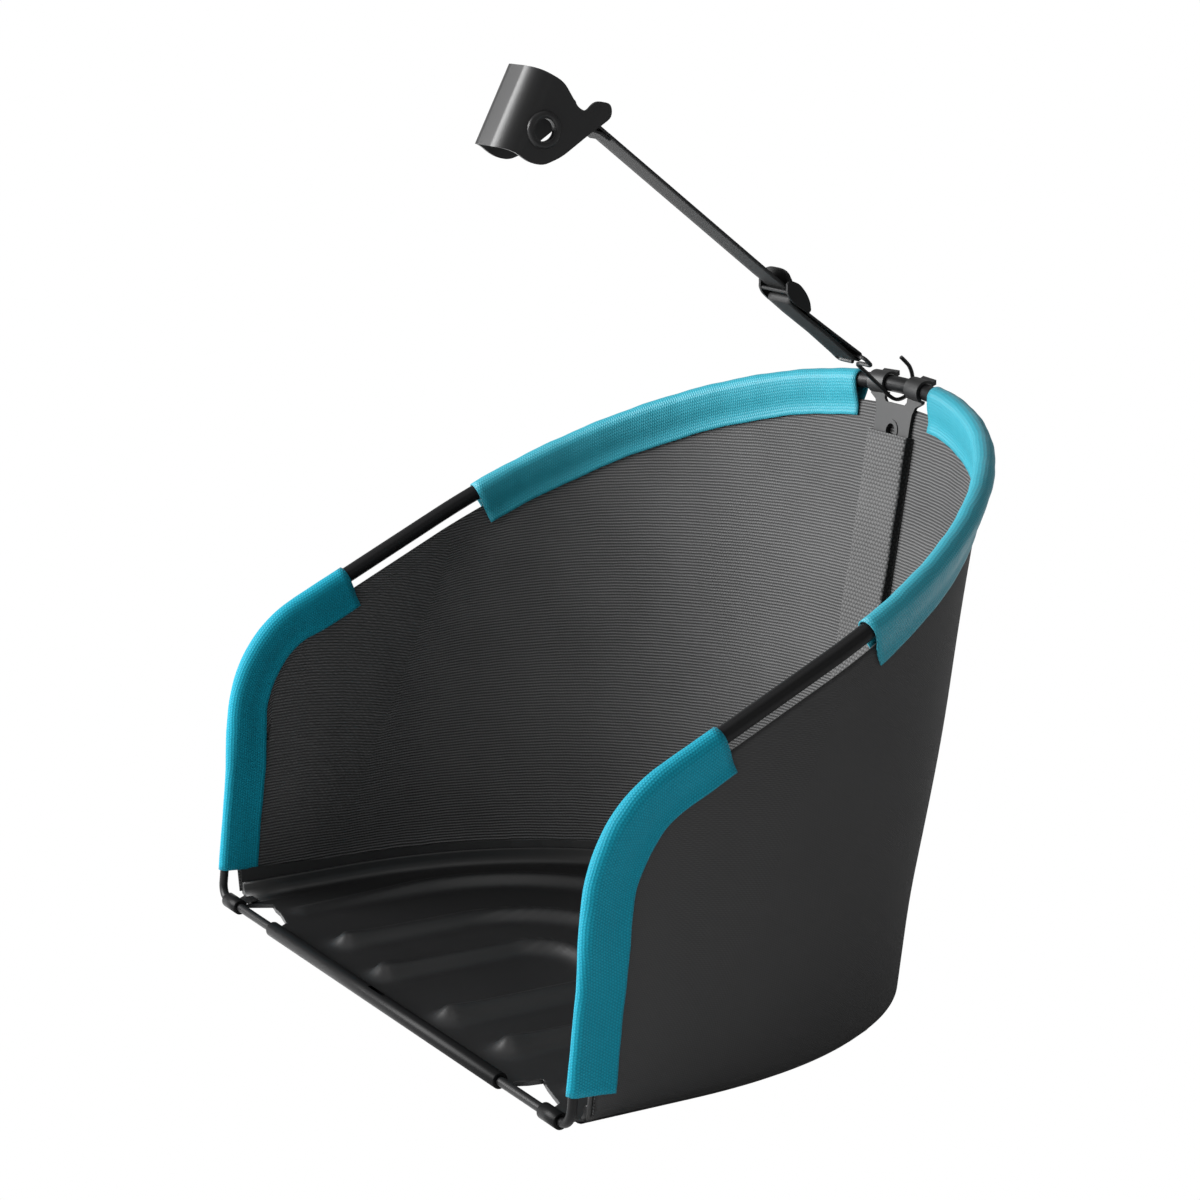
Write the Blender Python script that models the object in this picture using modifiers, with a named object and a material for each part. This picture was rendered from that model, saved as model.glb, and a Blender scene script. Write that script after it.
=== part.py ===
"""Grass catcher for a hand mower: moulded tray, wire and tube frame, fabric wall, rear strut and hanger strap.

Units are metres and +Z is up. X runs across the mouth, the mouth faces -Y, and the tray stands on Z = 0.
The measured sizes are given from the axis of the front cross wire, and the part is centred on the origin.
"""
import math

import bmesh
import bpy
from mathutils import Matrix, Vector

for old in list(bpy.data.objects):
    bpy.data.objects.remove(old, do_unlink=True)

# Gap between pieces that touch
GAP = 0.0003

# Frame: a wire across the mouth and up both sides, and a tube over the sides and round the back
HALF_SPAN = 0.221            # mid plane to the centre of either upright
WIRE_R = 0.0027
WIRE_BEND = 0.009            # centre-line radius of the two bottom corners
TUBE_R = 0.005
TUBE_WALL = 0.001
TUBE_NECK_R = 0.0041         # the tube's two ends are squeezed down onto the wire
NECK_LENGTH = 0.006
WIRE_IN_TUBE = 0.012
LEAN = math.radians(6.5)     # uprights lean back
TOP_SLOPE = math.radians(25.57)
LOOP_BACK = 0.3607           # cross wire to the tube's axis at the back, along Y
LOOP_RISE = 0.3252           # the same, along Z
LOOP_DEPTH = 0.2273          # depth of the round back, along the slope
LOOP_POWER = 2.08            # how square the round back is, 2 is an ellipse
BEND_R = 0.0805              # front bends of the tube
TUBE_BELOW_BEND = 0.0071     # straight tube below the front bends

# Tray
ROLL_R = 0.0047              # sleeve rolled round the cross wire
BARE_WIRE = 0.0755           # from the upright's centre line in to the end of the roll
ROLL_HALF = HALF_SPAN - BARE_WIRE
CORNER_W = 0.0185            # short sleeve at either corner, up to the wire's bend
CORNER_SLEEVE = (HALF_SPAN - WIRE_BEND - GAP - CORNER_W, HALF_SPAN - WIRE_BEND - GAP)
FLOOR_T = 0.0024
FLOOR_RIM_Z = 0.0036         # the underside turns up to this height at its edge
FLOOR_INSET = 0.006
WALL_TOP = 0.0116
WALL_FRONT = 0.012           # the side walls start this far behind the cross wire
FRONT_INSET = 0.0145         # the floor in front of the side walls ends this far inside the uprights
FRONT_HALF = HALF_SPAN - FRONT_INSET
TRAY_STRAIGHT = 0.0779       # the outline is straight up to here, then round
TRAY_POWER = 2.19            # how square the round back is, 2 is an ellipse
RIB_HEIGHT = 0.0072
RIB_HALF = 0.0130
RIBS = ((0.1717, 0.2458, 0.026), (0.1018, 0.1875, 0.024), (0.0415, 0.1388, 0.018))
RIB_STRAIGHT = 0.106
LEFT_CUT = ((0.0470, -0.007), (0.0470, 0.004), (0.0580, 0.008), (0.0495, 0.0227), (0.0405, 0.0205),
            (0.0315, 0.0195), (0.0125, 0.0150), (0.0085, 0.0096), (0.0025, 0.006), (0.0005, -0.007))
RIGHT_CUT = ((0.0005, -0.007), (0.0005, 0.009), (0.0035, 0.0155), (0.0050, 0.0235), (0.0145, 0.0205),
             (0.0245, 0.0180), (0.0385, 0.0148), (0.0415, 0.0100), (0.0470, 0.006), (0.0470, -0.007))
NOTCH = (0.019, 0.0016)      # slot where the roll meets the floor: length and depth

# Fabric wall, outer face
CLOTH_T = 0.0009
BOTTOM_TUCK, RIM_FLARE = 0.0020, 0.0013
BOTTOM_HALF, BOTTOM_BACK, BOTTOM_Z = HALF_SPAN - BOTTOM_TUCK, 0.3085, 0.0065
RIM_HALF, RIM_BACK, RIM_Z = HALF_SPAN + CLOTH_T / 2, BOTTOM_BACK + RIM_FLARE, 0.0205
CLOTH_TO_TUBE = 0.010        # top edge of the fabric below the frame's centre line
CLOTH_SAG = 0.0025           # and this much lower at the middle of the back
STRIP_T = 0.0012
STRIP_BOTTOM = 0.0050
STRIP_TOP_FRONT, STRIP_TOP_BACK = 0.0209, 0.0167

# Sleeves folded over the frame
SLEEVE_T = 0.0010
SLEEVE_CLEAR = 0.0005        # cloth of the sleeve to the wall it is sewn to
SLEEVE_DROP = 0.022          # frame centre line to the sewn edge
SLEEVE_BOTTOM = 0.0170       # front sleeves start this high above the cross wire
SLEEVE_FRONT_END = 0.0926    # and end this far behind it
REAR_SLEEVE_AHEAD = 0.0281   # rear sleeves start this far behind the start of the round back
REAR_SLEEVE_END_X = 0.0384

# Rear strut and its pocket, in the slope of the rear wall
STRUT_T = 0.0021
STRUT_IN = 0.0014            # back of the strut, inward from the fabric's middle
STRUT_EARS, STRUT_SHOULDER, STRUT_NECK = 0.0262, 0.0205, 0.0180
STRUT_WINDOW = 0.0115
STRUT_WINDOW_END = 0.0112
STRUT_FOOT_Z = 0.0240
FINGER_T = 0.0018
FINGER_START, FINGER_END = math.radians(262), math.radians(38)
FINGER_LIP = 0.0026
STRUT_HOLE_R, STRUT_RIM_R, STRUT_RIM_H, STRUT_HOLE_DOWN = 0.0045, 0.0070, 0.0006, 0.0280
POCKET_T = 0.0009
POCKET_TOP = 0.0295

# Wire hook on the rear tube, from the tube's axis, (y, z)
HOOK_R = 0.00125
HOOK_PATH = ((-0.0015, 0.0176), (0.0022, 0.0143), (0.0050, 0.0112), (0.0070, 0.0066), (0.0073, 0.0020),
             (0.0056, -0.0040), (0.0010, -0.0074), (-0.0048, -0.0080), (-0.0106, -0.0046), (-0.0160, 0.0006))
RING_LOW, RING_HIGH = (-0.0347, 0.0172), (-0.0408, 0.0227)
RING_HALF = 0.0172
RING_CORNER = 0.0030

# Strap, slider and clip of the hanger
STRAP_W, STRAP_T = 0.0230, 0.0015
SLIDER_AT = (-0.0837, 0.0672)        # from the tube's axis at the back, (y, z)
SLIDER_DIR = math.radians(36.3)      # rise of the strap towards the clip
CHEEK_X, CHEEK_T = 0.0145, 0.0020
BAR_R = 0.0013
BAR_FRONT, BAR_MID = (0.0058, -0.0069), (-0.0020, -0.0083)
TAB_U, TAB_LEAN = 0.0068, math.radians(50)   # foot of the thumb tab, and how far it leans towards the clip
TAB_EDGE, TAB_RISE = 0.0024, 0.0066          # its length at the cheeks, and how much more in the middle
CLIP_HOLE_AT = (-0.2582, 0.1675)     # from the tube's axis at the back, (y, z)
CLIP_HALF, CLIP_SHEET, CLIP_BEND = 0.0205, 0.0018, 0.0140
CLIP_WEB = ((-0.0275, -0.0084), (-0.0054, 0.0347))
CLIP_HOLE_R, CLIP_RIM_R, CLIP_RIM_H = 0.0064, 0.0102, 0.0014
CLIP_BORE = -0.0006            # the bore's place along Y, from the outline's own origin
CLIP_PROFILE = ((-0.0200, 0.0388), (-0.0010, 0.0335), (0.0125, 0.0258), (0.0215, 0.0112), (0.0262, 0.0088),
                (0.0325, 0.0146), (0.0425, 0.0126), (0.0430, 0.0050), (0.0351, 0.0000), (0.0286, -0.0036),
                (0.0106, -0.0154), (-0.0014, -0.0196), (-0.0105, -0.0172), (-0.0190, -0.0110),
                (-0.0240, -0.0090), (-0.0330, -0.0075))
CLIP_CORNER = 0.0045
PIN_AT, PIN_R = (0.0285, 0.0040), 0.0025

ROD_Z = ROLL_R
ROD_Y = -(LOOP_BACK + 0.0073 + HOOK_R - ROLL_R) / 2
HINGE_Y, HINGE_Z = ROD_Y + LOOP_BACK, ROD_Z + LOOP_RISE

model = bpy.data.collections.new("grass_catcher")
guides = bpy.data.collections.new("cutters")
for group in (model, guides):
    bpy.context.scene.collection.children.link(group)


def material(name, colour, roughness, metallic=0.0):
    """A Principled material with one colour."""
    made = bpy.data.materials.new(name)
    made.use_nodes = True
    shader = made.node_tree.nodes["Principled BSDF"]
    shader.inputs["Base Color"].default_value = (*colour, 1.0)
    shader.inputs["Roughness"].default_value = roughness
    shader.inputs["Metallic"].default_value = metallic
    made.diffuse_color = (*colour, 1.0)
    return made


def add(name, data, group=model):
    """Puts a mesh or curve into the scene as one named object."""
    made = bpy.data.objects.new(name, data)
    group.objects.link(made)
    if group is guides:
        made.hide_render = True
        made.display_type = "WIRE"
    return made


def mesh_from(name, bm, group=model):
    """Turns a bmesh into an object."""
    bmesh.ops.recalc_face_normals(bm, faces=bm.faces)
    data = bpy.data.meshes.new(name)
    bm.to_mesh(data)
    bm.free()
    return add(name, data, group)


def solid(curve):
    """Replaces a curve object with its welded mesh, so that it can be cut and joined."""
    seen = curve.evaluated_get(bpy.context.evaluated_depsgraph_get())
    data = bpy.data.meshes.new_from_object(seen)
    bm = bmesh.new()
    bm.from_mesh(data)
    bmesh.ops.remove_doubles(bm, verts=bm.verts, dist=0.00002)
    bmesh.ops.recalc_face_normals(bm, faces=bm.faces)
    bm.to_mesh(data)
    bm.free()
    name, group, place = curve.name, curve.users_collection[0], curve.matrix_world.copy()
    bpy.data.objects.remove(curve, do_unlink=True)
    made = add(name, data, group)
    made.matrix_world = place
    return made


def wire(name, points, radius, sides=3, caps=True, radii=None, closed=False, group=model):
    """A round wire or tube along straight steps."""
    data = bpy.data.curves.new(name, "CURVE")
    data.dimensions = "3D"
    data.bevel_depth = radius
    data.bevel_resolution = sides - 1
    data.use_fill_caps = caps
    line = data.splines.new("POLY")
    line.points.add(len(points) - 1)
    line.use_cyclic_u = closed
    for index, point in enumerate(points):
        line.points[index].co = (*point, 1.0)
        line.points[index].radius = radii[index] if radii else 1.0
    return add(name, data, group)


def plate(name, outline, thickness, place, group=model, holes=()):
    """A flat outline in its own XY plane, thick along its own Z, put in place by a matrix."""
    data = bpy.data.curves.new(name, "CURVE")
    data.dimensions = "2D"
    data.fill_mode = "BOTH"
    data.extrude = thickness / 2
    for ring in (outline, *holes):
        line = data.splines.new("POLY")
        line.points.add(len(ring) - 1)
        line.use_cyclic_u = True
        for index, point in enumerate(ring):
            line.points[index].co = (point[0], point[1], 0.0, 1.0)
    made = add(name, data, group)
    made.matrix_world = place
    bpy.context.view_layer.update()
    return solid(made)


def rod(name, radius, length, centre, axis="X", sides=24, top=None, group=model):
    """A cylinder, or a cone if top is given, along an axis of the world or of a matrix."""
    bm = bmesh.new()
    bmesh.ops.create_cone(bm, cap_ends=True, segments=sides, radius1=radius,
                          radius2=radius if top is None else top, depth=length)
    made = mesh_from(name, bm, group)
    turn = Matrix.Rotation(math.pi / 2, 4, "Y") if axis == "X" else axis
    made.matrix_world = Matrix.Translation(centre) @ turn
    return made


def block(name, low, high, group=guides):
    """A box between two corners."""
    bm = bmesh.new()
    bmesh.ops.create_cube(bm, size=1.0)
    made = mesh_from(name, bm, group)
    middle = [(a + b) / 2 for a, b in zip(low, high)]
    spread = [b - a for a, b in zip(low, high)]
    made.data.transform(Matrix.Diagonal((*spread, 1.0)))
    made.location = middle
    return made


def combine(target, tools, kind):
    """Cuts or joins by Boolean modifiers, and keeps the tools as hidden guides."""
    for tool in tools:
        if tool.name not in guides.objects:
            for group in list(tool.users_collection):
                group.objects.unlink(tool)
            guides.objects.link(tool)
            tool.hide_render = True
            tool.display_type = "WIRE"
        step = target.modifiers.new(f"{kind.lower()} {tool.name}", "BOOLEAN")
        step.operation = kind
        step.solver = "EXACT"
        step.object = tool


def thicken(target, thickness, offset):
    """Gives an open surface its thickness."""
    step = target.modifiers.new("thickness", "SOLIDIFY")
    step.thickness = thickness
    step.offset = offset
    step.use_even_offset = True


def grid(name, rows, group=model):
    """An open surface through rows of points, each row as long as the next."""
    bm = bmesh.new()
    verts = [[bm.verts.new(point) for point in row] for row in rows]
    for upper, lower in zip(verts, verts[1:]):
        for index in range(len(upper) - 1):
            a, b, c, d = upper[index], upper[index + 1], lower[index + 1], lower[index]
            for face in ((a, b, c), (a, c, d)) if index < (len(upper) - 1) / 2 else ((b, c, d), (b, d, a)):
                bm.faces.new(face)
    return mesh_from(name, bm, group)


def arc(centre, radius, start, end, steps):
    """Points on a circle, both ends included, in a plane of two coordinates."""
    turn = [start + (end - start) * index / steps for index in range(steps + 1)]
    return [(centre[0] + radius * math.cos(a), centre[1] + radius * math.sin(a)) for a in turn]


def rounded(points, radius, steps=4):
    """A path of straight runs with its inner corners rounded, in two or three coordinates."""
    path = [Vector(points[0])]
    for before, corner, after in zip(points, points[1:], points[2:]):
        corner = Vector(corner)
        back, ahead = Vector(before) - corner, Vector(after) - corner
        reach = min(radius, back.length * 0.45, ahead.length * 0.45)
        first, last = corner + back.normalized() * reach, corner + ahead.normalized() * reach
        for index in range(steps + 1):
            t = index / steps
            path.append(first * (1 - t) ** 2 + corner * 2 * t * (1 - t) + last * t * t)
    path.append(Vector(points[-1]))
    return path


def smooth_path(points, steps):
    """A smooth curve through points, in two coordinates."""
    ends = [points[0], *points, points[-1]]
    path = []
    for a, b, c, d in zip(ends, ends[1:], ends[2:], ends[3:]):
        for index in range(steps):
            t = index / steps
            path.append(tuple(0.5 * (2 * q + (r - p) * t + (2 * p - 5 * q + 4 * r - s) * t ** 2
                                     + (3 * q - p - 3 * r + s) * t ** 3)
                              for p, q, r, s in zip(a, b, c, d)))
    path.append(tuple(points[-1]))
    return path


def between(start, end, count):
    """Evenly spaced values after start, up to and with end."""
    return [start + (end - start) * (index + 1) / count for index in range(count)]


# Materials
TRAY_PLASTIC = material("tray_plastic", (0.055, 0.056, 0.058), 0.42)
STRUT_PLASTIC = material("strut_plastic", (0.16, 0.165, 0.17), 0.40)
SLIDER_PLASTIC = material("slider_plastic", (0.045, 0.046, 0.048), 0.40)
FRAME_PAINT = material("frame_paint", (0.10, 0.10, 0.105), 0.34, 0.3)
HOOK_STEEL = material("hook_steel", (0.06, 0.06, 0.062), 0.36, 0.5)
CLIP_PAINT = material("clip_paint", (0.13, 0.13, 0.135), 0.40, 0.3)
PIN_STEEL = material("pin_steel", (0.45, 0.45, 0.46), 0.35, 1.0)
WALL_CLOTH = material("wall_cloth", (0.11, 0.11, 0.112), 0.80)
SLEEVE_CLOTH = material("sleeve_cloth", (0.045, 0.32, 0.42), 0.75)
STRIP_PLASTIC = material("strip_plastic", (0.05, 0.05, 0.052), 0.55)
POCKET_CLOTH = material("pocket_cloth", (0.17, 0.17, 0.17), 0.85)
STRAP_CLOTH = material("strap_cloth", (0.09, 0.09, 0.095), 0.80)


def side(y, z, x=HALF_SPAN):
    """A world point from measures taken at the cross wire."""
    return Vector((x, ROD_Y + y, ROD_Z + z))


# Centre line of the frame's right half: upright, front bend, straight run, round back
knee_y = (LOOP_RISE - LOOP_BACK * math.tan(TOP_SLOPE)) * math.tan(LEAN) / (1 - math.tan(LEAN) * math.tan(TOP_SLOPE))
knee_z = knee_y / math.tan(LEAN)
turn = math.pi / 2 - LEAN - TOP_SLOPE
tangent = BEND_R * math.tan(turn / 2)
bend_start = Vector((knee_y - tangent * math.sin(LEAN), knee_z - tangent * math.cos(LEAN)))
bend_end = Vector((knee_y + tangent * math.cos(TOP_SLOPE), knee_z + tangent * math.sin(TOP_SLOPE)))
bend_centre = bend_start + Vector((math.cos(LEAN), -math.sin(LEAN))) * BEND_R
loop_y = LOOP_BACK - LOOP_DEPTH * math.cos(TOP_SLOPE)
tube_start = bend_start.y - TUBE_BELOW_BEND * math.cos(LEAN)


def upright(z):
    """A point of the upright at a height above the cross wire."""
    return side(z * math.tan(LEAN), z)


def run(y):
    """A point of the straight run over the side."""
    return side(y, LOOP_RISE - (LOOP_BACK - y) * math.tan(TOP_SLOPE))


def back(angle):
    """A point of the round back, from 0 at its side to a right angle at the middle."""
    y = loop_y + LOOP_DEPTH * math.cos(TOP_SLOPE) * math.sin(angle) ** (2 / LOOP_POWER)
    z = LOOP_RISE - (LOOP_BACK - y) * math.tan(TOP_SLOPE)
    return side(y, z, HALF_SPAN * max(math.cos(angle), 0.0) ** (2 / LOOP_POWER))


def outline(share, half, rear, z):
    """A point of the tray's outline: share 0 to 1 along the straight side, 1 to 2 round to the middle."""
    if share <= 1:
        y = WALL_FRONT + (TRAY_STRAIGHT - WALL_FRONT) * share
        return Vector((half, ROD_Y + y, z))
    angle = (share - 1) * math.pi / 2
    x = half * abs(math.cos(angle)) ** (2 / TRAY_POWER)
    y = TRAY_STRAIGHT + (rear - TRAY_STRAIGHT) * math.sin(angle) ** (2 / TRAY_POWER)
    return Vector((0.0 if share == 2 else x, ROD_Y + y, z))


# Stations along the frame: centre line, and the place on the tray's outline below it
rear_start_angle = math.asin((REAR_SLEEVE_AHEAD / (LOOP_DEPTH * math.cos(TOP_SLOPE))) ** (LOOP_POWER / 2))
rear_end_angle = math.acos((REAR_SLEEVE_END_X / HALF_SPAN) ** (LOOP_POWER / 2))
WALL_START = 0.030
stations = [("low", upright(SLEEVE_BOTTOM), 0.0), ("wall", upright(WALL_START), 0.0)]
stations += [("up", upright(z), 0.0)
             for z in between(WALL_START, tube_start - 0.007, 3)]
stations += [("neck_low", upright(tube_start - 0.001), 0.10), ("neck", upright(tube_start + NECK_LENGTH * 0.8), 0.18)]
lean_angle = math.pi - LEAN
stations += [("bend", side(*(bend_centre + Vector((math.cos(a), math.sin(a))) * BEND_R)), 0.27 + 0.05 * index)
             for index, a in enumerate(between(lean_angle + 0.0001, math.pi / 2 + TOP_SLOPE, 8))]
stations += [("front_end", run(SLEEVE_FRONT_END), 0.75)]
stations += [("run", run(y), share) for y, share in zip(between(SLEEVE_FRONT_END, loop_y, 2), (0.87, 1.0))]
stations += [("rear_start", back(rear_start_angle), 1 + rear_start_angle * 2 / math.pi)]
stations += [("back", back(a), 1 + a * 2 / math.pi) for a in between(rear_start_angle, rear_end_angle, 14)]
stations[-1] = ("rear_end", *stations[-1][1:])
stations += [("back", back(a), 1 + a * 2 / math.pi) for a in between(rear_end_angle, math.pi / 2, 4)]
names = [name for name, _, _ in stations]
line = [point for _, point, _ in stations]
shares = [share for _, _, share in stations[:-1]] + [2.0]
rim = [outline(share, RIM_HALF - CLOTH_T / 2, RIM_BACK - CLOTH_T / 2, RIM_Z) for share in shares]


def frame_at(index):
    """Outward and downward directions of the wall at a station."""
    ahead = line[min(index + 1, len(line) - 1)] - line[index - 1] if index else line[1] - line[0]
    if index == len(line) - 1:
        ahead = Vector((-1.0, 0.0, 0.0))
    ahead.normalize()
    down = rim[index] - line[index]
    if index == 0:
        return Vector((1.0, 0.0, 0.0)), Vector((0.0, 1.0, 0.0))
    down = (down - ahead * down.dot(ahead)).normalized()
    if line[index].x == HALF_SPAN:
        down = Vector((0.0, down.y, down.z)).normalized()
    out = ahead.cross(down).normalized()
    return (out if out.x > 0 or out.y > 0.5 else -out), down


frames = [frame_at(index) for index in range(len(line))]


def mirrored(points):
    """A row from the right end to the middle, continued to the left end."""
    return [*points, *(Vector((-p.x, p.y, p.z)) for p in reversed(points[:-1]))]


# Wire: across the mouth, round both bottom corners and up into the tube
wire_top = tube_start + WIRE_IN_TUBE * math.cos(LEAN)
corner_arc = arc((HALF_SPAN - WIRE_BEND, WIRE_BEND), WIRE_BEND, -math.pi / 2, 0.0, 6)
half_wire = [Vector((x, ROD_Y + z * math.tan(LEAN), ROD_Z + z)) for x, z in corner_arc]
half_wire += [upright(wire_top * 0.5), upright(wire_top)]
lower_wire = wire("lower_wire", [Vector((-p.x, p.y, p.z)) for p in reversed(half_wire)] + half_wire, WIRE_R)

# Tube: squeezed ends, front bends, sides and round back, hollow
tube_from = names.index("neck")
half_tube = [upright(tube_start), upright(tube_start + NECK_LENGTH * 0.4)] + line[tube_from:]
neck = TUBE_NECK_R / TUBE_R
half_radii = [neck, neck, *([1.0] * (len(half_tube) - 2))]
full_tube = mirrored(half_tube)
upper_tube = solid(wire("upper_tube", full_tube, TUBE_R, sides=3, caps=False,
                        radii=half_radii + half_radii[-2::-1]))
thicken(upper_tube, TUBE_WALL, -1.0)

# Fabric wall: one panel from the tray up to just under the tube
first = names.index("neck_low") - 1
bottom = [outline(share, BOTTOM_HALF - CLOTH_T / 2, BOTTOM_BACK - CLOTH_T / 2, BOTTOM_Z) for share in shares]
top = [point + down * (CLOTH_TO_TUBE + CLOTH_SAG * max(share - 1.0, 0.0))
       for point, share, (_, down) in zip(line, shares, frames)]
hem = [point + down * (SLEEVE_DROP + 0.002) for point, (_, down) in zip(line, frames)]
hem[first] = rim[first].lerp(top[first], 0.8)
rows = [bottom[first:], rim[first:]]
for part in (0.25, 0.5, 0.75, 1.0):
    rows.append([low.lerp(high, part) for low, high in zip(rim[first:], hem[first:])])
rows.append(top[first:])
fabric_body = grid("fabric_body", [mirrored(row) for row in rows])
thicken(fabric_body, CLOTH_T, 0.0)

# Plastic strip sewn inside the fabric's bottom edge
strip_in = CLOTH_T + GAP + STRIP_T / 2


def flared(share, inset, z):
    """The wall's outer face near the tray, moved in, at a height."""
    part = (z - BOTTOM_Z) / (RIM_Z - BOTTOM_Z)
    half = BOTTOM_HALF + (RIM_HALF - BOTTOM_HALF) * min(part, 1.0)
    rear = BOTTOM_BACK + (RIM_BACK - BOTTOM_BACK) * min(part, 1.0)
    return outline(share, half - inset, rear - inset, z)


def strip_top(share):
    """The strip is tallest at the front."""
    return STRIP_TOP_FRONT + (STRIP_TOP_BACK - STRIP_TOP_FRONT) * min(share, 1.3) / 1.3


strip_rows = [[flared(s, strip_in, STRIP_BOTTOM + (strip_top(s) - STRIP_BOTTOM) * part) for s in shares[first:]]
              for part in (0.0, 0.5, 1.0)]
edge_strip = grid("bottom_edge_strip", [mirrored(row) for row in strip_rows])
thicken(edge_strip, STRIP_T, 0.0)

# Tray: floor and low wall as one shell, with ribs, wire sleeves and cut-outs
wall_in = CLOTH_T + GAP + STRIP_T + GAP
tray_shares = shares[first:]
wall_rows = [[flared(s, wall_in, z) for s in tray_shares] for z in (WALL_TOP, FLOOR_RIM_Z)]
floor_row = [flared(s, wall_in + FLOOR_INSET, 0.0) for s in tray_shares]
floor_row[0] = Vector((floor_row[0].x, ROD_Y + WALL_FRONT, 0.0))
bm = bmesh.new()
loops = [[bm.verts.new(p) for p in mirrored(row)] for row in (*wall_rows, floor_row)]
for upper, lower in zip(loops, loops[1:]):
    for index in range(len(upper) - 1):
        if (upper[index].co - upper[index + 1].co).length > 1e-6:
            bm.faces.new((upper[index], upper[index + 1], lower[index + 1], lower[index]))
front = [bm.verts.new((x, ROD_Y + y, 0.0)) for x, y in ((-FRONT_HALF, WALL_FRONT * 0.8), (-FRONT_HALF, 0.0),
                                                        (FRONT_HALF, 0.0), (FRONT_HALF, WALL_FRONT * 0.8))]
bm.faces.new([*loops[-1], *front])
bmesh.ops.remove_doubles(bm, verts=bm.verts, dist=1e-6)
floor_tray = mesh_from("floor_tray", bm)
thicken(floor_tray, FLOOR_T, -1.0)

swell = [(RIB_HALF * x, GAP + (RIB_HEIGHT - GAP) * (0.5 + 0.5 * math.cos(math.pi * x)))
         for x in (1 - i / 6 for i in range(13))]
swell = [(RIB_HALF, -FLOOR_T * 0.5), *swell, (-RIB_HALF, -FLOOR_T * 0.5)]
section = bpy.data.curves.new("rib_section", "CURVE")
section.dimensions = "2D"
spline = section.splines.new("POLY")
spline.points.add(len(swell) - 1)
spline.use_cyclic_u = True
for index, (across, up) in enumerate(swell):
    spline.points[index].co = (across, up, 0.0, 1.0)
section_object = add("rib_section", section, guides)
ribs = []
for number, (half, rear, start) in enumerate(RIBS):
    path = [Vector((half, ROD_Y + y, FLOOR_T)) for y in (start, start + 0.006, start + 0.012, RIB_STRAIGHT)]
    for step in range(1, 13):
        angle = step * math.pi / 24
        power = 2 / TRAY_POWER
        path.append(Vector((half * abs(math.cos(angle)) ** power if step < 12 else 0.0,
                            ROD_Y + RIB_STRAIGHT + (rear - RIB_STRAIGHT) * math.sin(angle) ** power, FLOOR_T)))
    taper = [0.25, 0.75, 1.0]
    scale = taper + [1.0] * (2 * len(path) - 1 - 6) + taper[::-1]
    rib = wire(f"rib_{number}", mirrored(path), 0.0, radii=scale, group=guides)
    rib.data.bevel_mode = "OBJECT"
    rib.data.bevel_object = section_object
    ribs.append(solid(rib))
bpy.data.objects.remove(section_object, do_unlink=True)

roll = rod("roll", ROLL_R, 2 * ROLL_HALF, (0.0, ROD_Y, ROD_Z), group=guides)
sleeve_mid = sum(CORNER_SLEEVE) / 2
sleeve_long = CORNER_SLEEVE[1] - CORNER_SLEEVE[0]
tubes = [rod(f"corner_sleeve_{sign}", ROLL_R, sleeve_long, (sign * sleeve_mid, ROD_Y, ROD_Z), group=guides)
         for sign in (-1, 1)]
wire_bore = rod("wire_bore", WIRE_R + GAP, 2 * CORNER_SLEEVE[1] + 0.002, (0.0, ROD_Y, ROD_Z), group=guides)
cuts = [plate(name, [(hand * (ROLL_HALF + x), ROD_Y + y) for x, y in shape], 6 * FLOOR_T, Matrix.Identity(4), guides)
        for name, shape, hand in (("left_cut", LEFT_CUT, -1), ("right_cut", RIGHT_CUT, 1))]
notch = block("roll_notch", (-NOTCH[0] / 2, ROD_Y + ROLL_R - NOTCH[1], FLOOR_T + 0.0006),
              (NOTCH[0] / 2, ROD_Y + ROLL_R + 0.002, ROD_Z + 0.003))
combine(floor_tray, cuts, "DIFFERENCE")
combine(floor_tray, [*ribs, roll, *tubes], "UNION")
combine(floor_tray, [wire_bore, notch], "DIFFERENCE")


def sleeve_section(radius):
    """Half section of a folded sleeve, outward and down from the frame's centre line."""
    reach = radius + GAP + 0.0002 + SLEEVE_T / 2
    flat = CLOTH_T / 2 + SLEEVE_CLEAR + SLEEVE_T / 2
    around = [(reach * math.sin(a), -reach * math.cos(a)) for a in (math.radians(20 * i) for i in range(7))]
    half = [*around, (flat, CLOTH_TO_TUBE + 0.0015), (flat, SLEEVE_DROP)]
    return [(-out, down) for out, down in reversed(half[1:])] + half


def sleeve(name, start, end, sign):
    """Cloth folded over the frame between two stations and sewn to both faces of the wall."""
    sections = []
    for index in range(start, end + 1):
        radius = TUBE_R if index >= tube_from else TUBE_NECK_R if index == tube_from - 1 else WIRE_R
        out, down = frames[index]
        sections.append([line[index] + out * o + down * d for o, d in sleeve_section(radius)])
    if sign < 0:
        sections = [[Vector((-p.x, p.y, p.z)) for p in section] for section in sections]
    made = grid(name, sections)
    thicken(made, SLEEVE_T, 0.0)
    return made


front_end, rear_start, rear_end = (names.index(n) for n in ("front_end", "rear_start", "rear_end"))
sleeves = [sleeve("front_sleeve_right", 0, front_end, 1), sleeve("front_sleeve_left", 0, front_end, -1),
           sleeve("rear_sleeve_right", rear_start, rear_end, 1), sleeve("rear_sleeve_left", rear_start, rear_end, -1)]

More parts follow.
